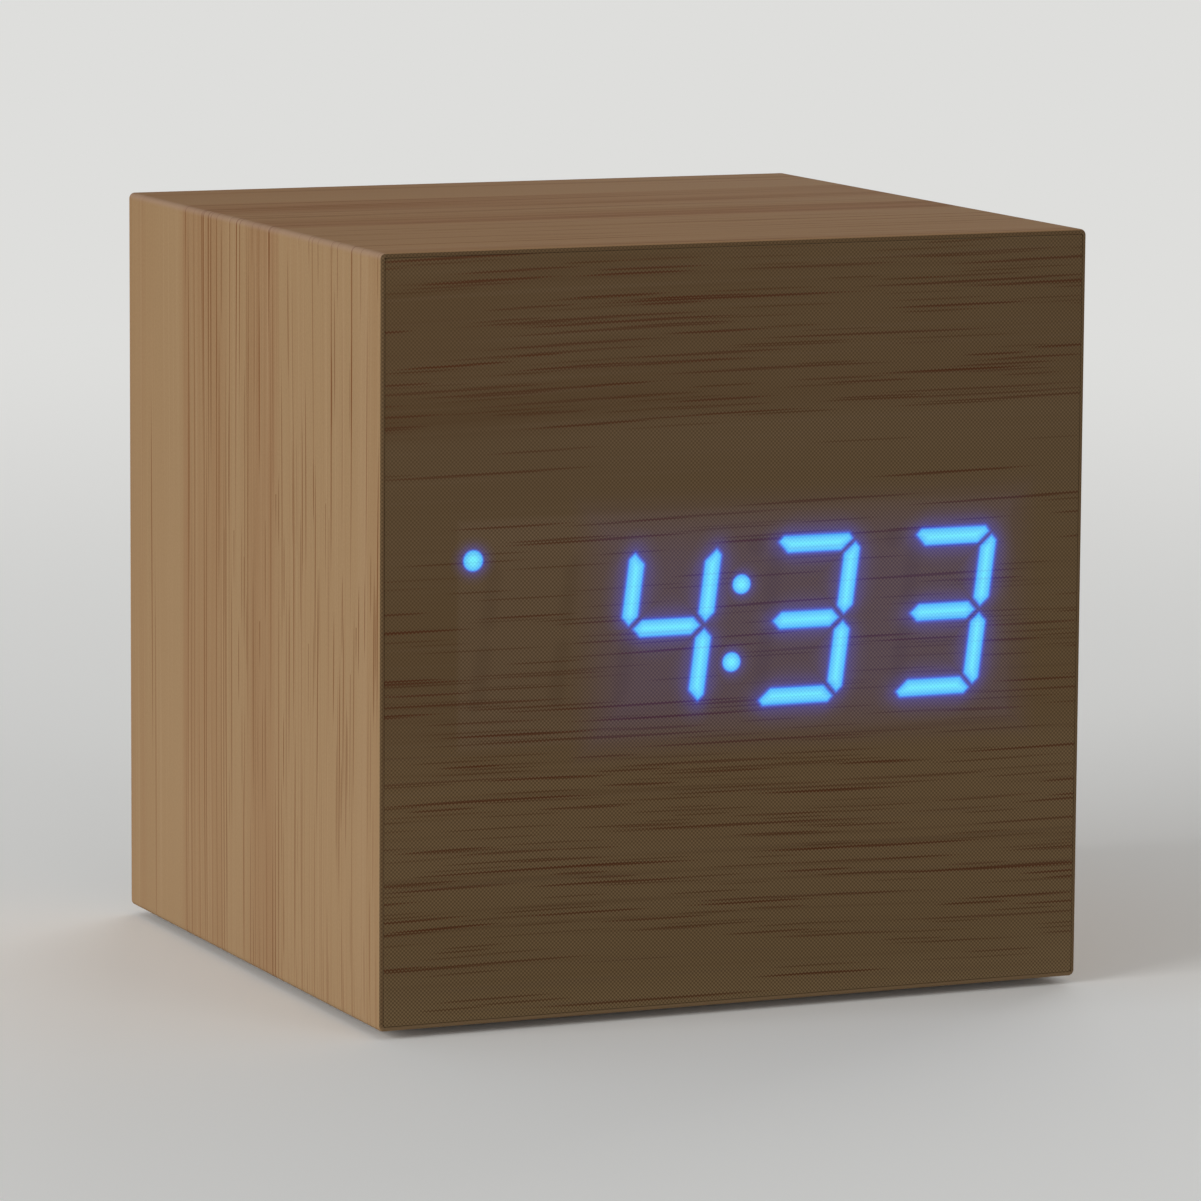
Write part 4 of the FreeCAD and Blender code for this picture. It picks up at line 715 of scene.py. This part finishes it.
def make_light_finish():
    """Cast resin over a lit blue chip."""
    resin = Finish("lit_resin_blue", 0.3)
    cloud = resin.noise(resin.millimetres()[0], 1.4, 3.0)
    resin.colour(resin.clouded(cloud, (150, 205, 240), (190, 226, 250)))
    glow = resin.clouded(cloud, (84, 176, 255), (122, 216, 255))
    resin.feed(resin.shader.inputs["Emission Color"], glow)
    resin.shader.inputs["Emission Strength"].default_value = 1.0
    resin.relief(cloud, 0.01)
    return resin.material


def make_cell_jacket_finish(name, nub_end, middle_z):
    """A dark shrunk jacket: copper-coloured shoulder, pale ring, and a plus and a minus at its ends."""
    jacket = Finish(name, 0.3, Metallic=0.35)
    place, x, y, z = jacket.millimetres()
    dust = jacket.noise(place, 1.2, 3.0)
    from_nub, off_line = jacket.away(x, nub_end), jacket.away(z, middle_z)

    def bar(middle, length, width):
        """1 within one bar of a mark."""
        within_length = jacket.math("LESS_THAN", jacket.away(from_nub, middle), length / 2)
        return jacket.times(within_length, jacket.math("LESS_THAN", off_line, width / 2))

    marks = jacket.highest(
        bar(PLUS_PLACE, MARK_LENGTH, MARK_WIDTH),
        bar(PLUS_PLACE, MARK_WIDTH, MARK_LENGTH),
        bar(MINUS_PLACE, MARK_LENGTH, MARK_WIDTH),
    )
    marks = jacket.times(marks, jacket.math("GREATER_THAN", y, CELL_Y))
    tone = jacket.clouded(dust, (42, 54, 77), (47, 60, 85))
    tone = jacket.mix(jacket.math("LESS_THAN", from_nub, RING_END), tone, linear(206, 208, 210))
    tone = jacket.mix(jacket.math("LESS_THAN", from_nub, SHOULDER_END), tone, linear(176, 112, 66))
    tone = jacket.mix(marks, tone, linear(214, 214, 210))
    jacket.colour(jacket.speckled(tone, dust, 0.96))
    jacket.rough(jacket.between(dust, 0.24, 0.3))
    jacket.relief(dust, 0.003)
    return jacket.material


FIBRE_BOARD = make_board_finish()
FOOT_FOAM = make_foam_finish()
PANEL_PLASTIC = make_moulded_finish("panel_plastic_grained", (30, 30, 32), (37, 37, 39), 0.5, 0.22, 0.03)
BUTTON_PLASTIC = make_moulded_finish("button_plastic_satin", (46, 46, 49), (55, 55, 58), 0.36, 0.3, 0.01)
BLACK_PLASTIC = make_moulded_finish("black_plastic_moulded", (26, 26, 28), (36, 36, 38), 0.42, 0.3, 0.015)
GREY_PLASTIC = make_moulded_finish("display_housing_grey", (64, 64, 68), (76, 76, 80), 0.5, 0.25, 0.02)
DARK_RESIN = make_moulded_finish("unlit_resin_smoky", (70, 63, 59), (82, 74, 70), 0.3, 0.8, 0.01)
WHITE_PLASTIC = make_moulded_finish(
    "white_plastic_moulded", (212, 209, 200), (226, 223, 214), 0.45, 0.4, 0.015
)
STEEL = make_metal_finish("steel_plated", (158, 160, 162), (196, 198, 200), 0.3)
TINNED = make_metal_finish("tinned_legs", (176, 178, 182), (208, 210, 214), 0.26, (1, 4, 1))
SPRING_STEEL = make_metal_finish("spring_nickel", (166, 164, 158), (204, 202, 196), 0.24, (4, 1, 1))
SCREW_STEEL = make_metal_finish("screw_zinc", (120, 122, 126), (164, 166, 170), 0.34)
MARK_INK = make_moulded_finish("mark_ink_pale", (168, 168, 166), (182, 182, 180), 0.55, 0.4, 0.006)
RED_WIRE = make_insulation_finish("wire_red", (158, 20, 18), (192, 34, 28))
BLACK_WIRE = make_insulation_finish("wire_black", (20, 20, 22), (34, 34, 36))
WHITE_WIRE = make_insulation_finish("wire_white", (206, 204, 196), (226, 224, 216))
CIRCUIT_BOARD = make_circuit_finish()
CAPACITOR = make_capacitor_finish()
LIT_RESIN = make_light_finish()


# Ways to model a piece

WELD = 0.0005
FLAT_WITHIN, SHARP_FROM = 0.5, 30


def only(piece):
    """Makes one object the selected and active one."""
    if bpy.context.object and bpy.context.object.mode != "OBJECT":
        bpy.ops.object.mode_set(mode="OBJECT")
    bpy.ops.object.select_all(action="DESELECT")
    piece.select_set(True)
    bpy.context.view_layer.objects.active = piece
    return piece


def settle(piece):
    """Puts the object at the origin, with its place in its mesh."""
    only(piece)
    bpy.ops.object.transform_apply(location=True, rotation=True, scale=True)
    return piece


def started(name):
    """Names the primitive just added, with its place in its mesh."""
    piece = settle(bpy.context.object)
    piece.name = piece.data.name = name
    return piece


def cuboid(name, size, centre):
    """A box, with its size and centre in millimetres."""
    bpy.ops.object.select_all(action="DESELECT")
    bpy.ops.mesh.primitive_cube_add(size=1, location=[c * MM for c in centre])
    bpy.context.object.scale = [s * MM for s in size]
    return started(name)


def rod(name, diameter, length, centre, turn=(0, 0, 0), sides=48):
    """A cylinder in millimetres, along Z until it is turned."""
    bpy.ops.object.select_all(action="DESELECT")
    bpy.ops.mesh.primitive_cylinder_add(
        vertices=sides,
        radius=diameter / 2 * MM,
        depth=length * MM,
        location=[c * MM for c in centre],
        rotation=turn,
    )
    return started(name)


def open_for_choice(piece, kind):
    """Readies one object for a choice of its faces or edges, with none chosen yet."""
    only(piece)
    bpy.ops.object.mode_set(mode="EDIT")
    bpy.ops.mesh.select_mode(type=kind)
    bpy.ops.mesh.select_all(action="DESELECT")
    bpy.ops.object.mode_set(mode="OBJECT")


def faces(piece, test):
    """Selects the faces whose middle (in millimetres) and normal pass the test, in edit mode."""
    open_for_choice(piece, "FACE")
    for face in piece.data.polygons:
        face.select = bool(test(face.center / MM, face.normal))
    bpy.ops.object.mode_set(mode="EDIT")


def edges(piece, test):
    """Selects the edges whose two ends (in millimetres) pass the test, in edit mode."""
    open_for_choice(piece, "EDGE")
    spots = [v.co / MM for v in piece.data.vertices]
    for edge in piece.data.edges:
        edge.select = bool(test(spots[edge.vertices[0]], spots[edge.vertices[1]]))
    bpy.ops.object.mode_set(mode="EDIT")


def done_editing():
    bpy.ops.object.mode_set(mode="OBJECT")


def finished_with(piece, kind, **settings):
    """Adds a modifier and applies it."""
    only(piece)
    bpy.ops.object.modifier_add(type=kind)
    modifier = piece.modifiers[-1]
    for setting, value in settings.items():
        setattr(modifier, setting, value)
    bpy.ops.object.modifier_apply(modifier=modifier.name)
    return piece


def smooth(piece, angle=40):
    only(piece)
    bpy.ops.object.shade_smooth_by_angle(angle=radians(angle))
    return piece


def wear(piece, material):
    piece.data.materials.clear()
    piece.data.materials.append(material)
    return piece


def stands_in(piece, body, slot, *nodes):
    """Gives a piece its body and hides the CAD nodes that it stands for; the slot is not used."""
    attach(piece, body)
    if nodes:
        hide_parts(*nodes)
    return piece


def eased(node, name, width):
    """A copy of a CAD node with its sharp edges eased, which stands for the node."""
    piece = NODES[node].copy()
    piece.data = NODES[node].data.copy()
    piece.name = piece.data.name = name
    for key in list(piece.keys()):
        del piece[key]
    piece.parent = None
    bpy.context.scene.collection.objects.link(piece)
    only(piece)
    bpy.ops.object.mode_set(mode="EDIT")
    bpy.ops.mesh.select_all(action="SELECT")
    bpy.ops.mesh.customdata_custom_splitnormals_clear()
    bpy.ops.mesh.remove_doubles(threshold=WELD * MM)
    bpy.ops.mesh.dissolve_limited(angle_limit=radians(FLAT_WITHIN))
    done_editing()
    smooth(piece, SHARP_FROM)
    finished_with(
        piece,
        "BEVEL",
        width=width * MM,
        segments=2,
        limit_method="ANGLE",
        angle_limit=radians(SHARP_FROM),
        harden_normals=True,
    )
    return piece


# The printed film folded round the four boards


def strip_place(spot, middle):
    """Where a corner of a face lies on the flat strip: along the grain, and from the back edge."""
    x, y, z = spot
    rise = middle.z - CASE_MIDDLE
    inward = CASE_WIDTH / 2 - max(abs(x), abs(z - CASE_MIDDLE))
    depth = BACK - y + (inward if y < FRONT + FRONT_EDGE_RADIUS / 2 else 0)
    if middle.x > 0 and rise > 0:
        return x - z + 2 * CASE_TOP, depth
    if rise > 0 or rise > middle.x:
        return x + z, depth
    return CASE_WIDTH + 2 * CASE_TOP - x - z, depth


def runs_back(a, b):
    """For edges that run from the front to the back."""
    return abs(a.y - b.y) > FILM / 2


def on_front(a, b):
    """For edges that lie on the front."""
    return max(a.y, b.y) < FRONT + NEAR


def make_side_film():
    """The strip round the case: rounded along its corners and turned onto the front, open at both ends."""
    film = cuboid("side_film", (CASE_WIDTH, CASE_DEPTH, CASE_HEIGHT), (0, 0, CASE_MIDDLE))
    faces(film, lambda middle, normal: normal.y > 0.9)
    bpy.ops.mesh.delete(type="FACE")
    edges(film, runs_back)
    bpy.ops.mesh.bevel(offset=LONG_EDGE_RADIUS * MM, segments=7)
    edges(film, on_front)
    bpy.ops.mesh.bevel(offset=FRONT_EDGE_RADIUS * MM, segments=6)
    faces(film, lambda middle, normal: normal.y < -0.999)
    bpy.ops.mesh.delete(type="FACE")
    done_editing()
    finished_with(film, "SOLIDIFY", thickness=FILM * MM, offset=-1, use_even_offset=True)
    strip = film.data.uv_layers.new(name="strip")
    for face in film.data.polygons:
        for corner in face.loop_indices:
            spot = film.data.vertices[film.data.loops[corner].vertex_index].co / MM
            strip.data[corner].uv = strip_place(spot, face.center / MM)
    wear(smooth(film), make_side_film_finish())
    return stands_in(film, "case", "side_film", "wrap_film")


def make_front_film():
    """The printed sheet on the front, with small round corners."""
    middle = (0, FRONT + FILM / 2, CASE_MIDDLE)
    film = cuboid("front_film_print", (FRONT_FILM_WIDTH, FILM, FRONT_FILM_WIDTH), middle)
    edges(film, runs_back)
    bpy.ops.mesh.bevel(offset=FRONT_FILM_CORNER * MM, segments=5)
    edges(film, on_front)
    bpy.ops.mesh.bevel(offset=FRONT_FILM_EDGE * MM, segments=2)
    done_editing()
    wear(smooth(film), make_front_film_finish())
    return stands_in(film, "case", "front_film", "front_film")


make_side_film()
make_front_film()


# The moulded back: panel, door, buttons and inlet with eased edges

for node, name, width, body, slot, material in (
    ("rear_panel", "rear_panel_moulding", 0.15, "case", "panel_plastic", PANEL_PLASTIC),
    ("battery_door", "battery_door_moulding", 0.15, "battery_door", "panel_plastic", PANEL_PLASTIC),
    ("down_button", "down_button_cap", 0.2, "down_button", "black_plastic", BUTTON_PLASTIC),
    ("up_button", "up_button_cap", 0.2, "up_button", "black_plastic", BUTTON_PLASTIC),
    ("set_button", "set_button_cap", 0.2, "set_button", "black_plastic", BUTTON_PLASTIC),
    ("jack_housing", "inlet_housing", 0.15, "case", "black_plastic", BUTTON_PLASTIC),
    ("foot_pads", "foam_feet", 0.12, "case", "foot_foam", FOOT_FOAM),
):
    stands_in(wear(eased(node, name, width), material), body, slot, node)


# Battery cells in the bay

NUB_DIAMETER, NUB_HEIGHT, NUB_TIP = 3.8, 1.0, 23.85
JACKET_ROLL, JACKET_LIP = 0.45, 0.7
DISC_DEPTH, DISC_STEP = 0.25, 0.1
NUB_RIM, FLAT_RIM = 0.9, 1.6
NUB_EDGE = 0.3


def pushed(inset, along_x):
    """Insets the chosen faces and moves them along X, in millimetres."""
    bpy.ops.mesh.inset(thickness=inset * MM)
    bpy.ops.mesh.extrude_region_move(TRANSFORM_OT_translate={"value": (along_x * MM, 0, 0)})


def round_end(cell, place, radius):
    """Rounds the edges that lie in the plane at a place along X."""
    edges(cell, lambda a, b: abs(a.x - place) < NEAR and abs(b.x - place) < NEAR)
    bpy.ops.mesh.bevel(offset=radius * MM, segments=3)


def make_cell(name, z, way):
    """A cell along X with its nub towards way: jacket rolled over the ends, sunk end discs, round nub."""
    body_length = CELL_LENGTH - NUB_HEIGHT
    middle = way * (NUB_TIP - NUB_HEIGHT - body_length / 2)
    cell = rod(name, CELL_DIAMETER, body_length, (middle, CELL_Y, z), (0, pi / 2, 0))
    nub_face, flat_face = way * (NUB_TIP - NUB_HEIGHT), way * (NUB_TIP - CELL_LENGTH)
    for end, out, rim in ((nub_face, way, NUB_RIM), (flat_face, -way, FLAT_RIM)):
        round_end(cell, end, JACKET_ROLL)
        faces(cell, lambda middle, normal: normal.x * out > 0.99)
        pushed(JACKET_LIP, -out * DISC_DEPTH)
        pushed(rim, out * DISC_STEP)
        if out == way:
            shoulder = CELL_DIAMETER / 2 - JACKET_ROLL - JACKET_LIP - rim - NUB_DIAMETER / 2
            pushed(shoulder, out * (NUB_HEIGHT + DISC_DEPTH - DISC_STEP))
            done_editing()
            round_end(cell, way * NUB_TIP, NUB_EDGE)
        done_editing()
    cell.data.materials.append(make_cell_jacket_finish(name + "_jacket", way * NUB_TIP, z))
    cell.data.materials.append(STEEL)
    disc_radius = CELL_DIAMETER / 2 - JACKET_ROLL - JACKET_LIP + 0.05
    for face in cell.data.polygons:
        middle = face.center / MM
        face.material_index = int(hypot(middle.y - CELL_Y, middle.z - z) < disc_radius)
    return smooth(cell, SHARP_FROM)


for level, z, way in (("lower", 18.1, 1), ("middle", 29.0, -1), ("upper", 39.9, 1)):
    stands_in(make_cell("battery_" + level, z, way), "case", "cell_jacket", "cell_" + level)


# Printed marks above the buttons and a raised arrow on the battery door

PRINT_RELIEF, ARROW_RELIEF = 0.04, 0.4
MARK_ROOT = 0.3
PANEL_FACE = 29.0
MARK_ROW, ARROW_LEVEL = 58.1, 36.4
RING_WIDTH, RING_DEPTH = 0.36, 0.2


def marked(name, diameter, relief, x, z, sides):
    """A disc or a three-sided plate on the panel, with its root in the panel."""
    middle = (x, PANEL_FACE + (relief - MARK_ROOT) / 2, z)
    return rod(name, diameter, relief + MARK_ROOT, middle, (pi / 2, 0, 0), sides)


def make_triangle_mark(name, x, z, size, points_up, relief, material):
    """A triangle with rounded edges that points up or down."""
    mark = marked(name, size, relief, x, z, 3)
    lowest = min(v.co.z for v in mark.data.vertices)
    upright = sum(v.co.z < lowest + 0.05 * MM for v in mark.data.vertices) == 4
    if upright != points_up:
        only(mark)
        bpy.ops.object.mode_set(mode="EDIT")
        bpy.ops.mesh.select_all(action="SELECT")
        pivot = (x * MM, PANEL_FACE * MM, z * MM)
        bpy.ops.transform.rotate(value=pi, orient_axis="Y", center_override=pivot)
        done_editing()
    finished_with(mark, "BEVEL", width=relief / 2 * MM, segments=3, limit_method="NONE")
    return wear(smooth(mark), material)


def make_ring_mark(name, x, z, diameter, material):
    """A printed ring: a disc whose middle is pushed back into the panel."""
    mark = marked(name, diameter, PRINT_RELIEF, x, z, 48)
    faces(mark, lambda middle, normal: normal.y > 0.9)
    bpy.ops.mesh.inset(thickness=RING_WIDTH * MM)
    bpy.ops.mesh.extrude_region_move(TRANSFORM_OT_translate={"value": (0, -RING_DEPTH * MM, 0)})
    done_editing()
    finished_with(
        mark,
        "BEVEL",
        width=PRINT_RELIEF / 3 * MM,
        segments=2,
        limit_method="ANGLE",
        angle_limit=radians(40),
    )
    return wear(smooth(mark), material)


down_mark = make_triangle_mark("down_mark", -12, MARK_ROW, 2.0, False, PRINT_RELIEF, MARK_INK)
up_mark = make_triangle_mark("up_mark", -4.5, MARK_ROW, 2.0, True, PRINT_RELIEF, MARK_INK)
set_mark = make_ring_mark("set_mark", 3, MARK_ROW, 1.8, MARK_INK)
for mark in (down_mark, up_mark, set_mark):
    stands_in(mark, "case", "white_plastic")
arrow = make_triangle_mark("door_mark", 0, ARROW_LEVEL, 3.8, True, ARROW_RELIEF, PANEL_PLASTIC)
stands_in(arrow, "battery_door", "panel_plastic")


# Finishes of the solids that keep their CAD shape

for material, nodes in (
    (FIBRE_BOARD, "bottom_board left_board top_board right_board front_board corner_blocks"),
    (LIT_RESIN, "lit_segments"),
    (DARK_RESIN, "unlit_segments"),
    (GREY_PLASTIC, "display_housing"),
    (BLACK_PLASTIC, "display_carrier clock_chip segment_drivers buzzer chip_resistors switch_bases"),
    (BLACK_PLASTIC, "down_plunger up_plunger set_plunger"),
    (TINNED, "display_pins chip_legs quartz_crystal"),
    (CIRCUIT_BOARD, "main_board button_board"),
    (WHITE_PLASTIC, "board_spacers wire_sockets"),
    (CAPACITOR, "capacitors"),
    (BLACK_WIRE, "black_lead"),
    (RED_WIRE, "red_lead"),
    (WHITE_WIRE, "link_wires"),
    (SPRING_STEEL, "contact_plates contact_springs jack_pin jack_leaf"),
    (STEEL, "switch_covers"),
    (SCREW_STEEL, "board_screws panel_screws button_board_screws"),
):
    for node in nodes.split():
        slot = NODES[node].material_slots[0]
        slot.link = "OBJECT"
        slot.material = material


# Stage, light and camera

PALE = linear(222, 222, 220)


def behind_all_views(tree):
    """1 for the rays that show a surface to the camera, also by reflection or through glass."""
    path = tree.nodes.new("ShaderNodeLightPath")
    total = path.outputs["Is Camera Ray"]
    for ray in ("Is Glossy Ray", "Is Transmission Ray"):
        add = tree.nodes.new("ShaderNodeMath")
        add.operation = "MAXIMUM"
        tree.links.new(total, add.inputs[0])
        tree.links.new(path.outputs[ray], add.inputs[1])
        total = add.outputs[0]
    return total


def make_floor():
    """A round floor that fades into the pale backdrop."""
    bpy.ops.object.select_all(action="DESELECT")
    bpy.ops.mesh.primitive_circle_add(vertices=96, radius=4, fill_type="NGON")
    floor = bpy.context.object
    floor.name = "studio_floor"
    pale = Finish("studio_floor_pale", 0.9, Specular_IOR_Level=0.0)
    tree = pale.tree
    pale.colour(pale.mix(behind_all_views(tree), linear(196, 196, 194), linear(250, 250, 248)))
    _, x, y, _ = pale.millimetres()
    far_off = pale.times(pale.rise(pale.length(x, y), 60, 520), behind_all_views(tree))
    shine = pale.node("Emission", {"Color": PALE, "Strength": 1.0})
    blend = tree.nodes.new("ShaderNodeMixShader")
    pale.feed(blend.inputs[0], far_off)
    tree.links.new(pale.shader.outputs[0], blend.inputs[1])
    tree.links.new(shine, blend.inputs[2])
    tree.links.new(blend.outputs[0], tree.nodes["Material Output"].inputs[0])
    wear(floor, pale.material)


def make_world(level):
    """A soft even light of a level from 0 to 1, and the pale backdrop for the camera."""
    world = bpy.data.worlds.new("studio_air")
    bpy.context.scene.world = world
    world.use_nodes = True
    tree = world.node_tree
    soft = tree.nodes["Background"]
    soft.inputs[0].default_value = (1, 1, 1, 1)
    soft.inputs[1].default_value = level
    pale = tree.nodes.new("ShaderNodeBackground")
    pale.inputs[0].default_value = (*PALE, 1)
    blend = tree.nodes.new("ShaderNodeMixShader")
    tree.links.new(behind_all_views(tree), blend.inputs[0])
    tree.links.new(soft.outputs[0], blend.inputs[1])
    tree.links.new(pale.outputs[0], blend.inputs[2])
    tree.links.new(blend.outputs[0], tree.nodes["World Output"].inputs[0])


def make_softbox(name, towards, distance, width, power):
    """A square area lamp in a direction from the middle of the case, facing it."""
    middle = Vector((0, 0, CASE_MIDDLE * MM))
    way = Vector(towards).normalized()
    lamp = bpy.data.lights.new(name, "AREA")
    lamp.shape = "SQUARE"
    lamp.size = width
    lamp.energy = power
    box = bpy.data.objects.new(name, lamp)
    bpy.context.scene.collection.objects.link(box)
    facing = way.to_track_quat("Z", "Y").to_matrix().to_4x4()
    box.matrix_world = Matrix.Translation(middle + way * distance) @ facing


def make_camera():
    """The photo's camera, turned and raised about a point of the case, with a long lens."""
    turn, rise, roll = radians(-23.54), radians(8.29), radians(0.37)
    target, distance = Vector((0.60, 0, 30.67)) * MM, 0.6031
    back = Vector((sin(turn) * cos(rise), -cos(turn) * cos(rise), sin(rise)))
    right = Vector((cos(turn), sin(turn), 0))
    up = back.cross(right)
    right, up = cos(roll) * right + sin(roll) * up, cos(roll) * up - sin(roll) * right
    lens = bpy.data.cameras.new("camera")
    lens.lens, lens.sensor_width = 207.8, 36
    lens.clip_start = 0.01
    camera = bpy.data.objects.new("camera", lens)
    bpy.context.scene.collection.objects.link(camera)
    pose = Matrix((right, up, back)).transposed().to_4x4()
    camera.matrix_world = Matrix.Translation(target + back * distance) @ pose
    bpy.context.scene.camera = camera


make_floor()
make_world(0.33)
make_softbox("key_softbox", (-0.80, -0.14, 0.20), 1.2, 0.8, 11.2)
make_softbox("front_softbox", (0.45, -1.0, 0.04), 1.4, 0.6, 6.3)
make_softbox("fill_softbox", (0.60, 0.70, 0.22), 1.4, 1.0, 7.8)
make_camera()
bpy.context.scene.view_settings.view_transform = "Standard"
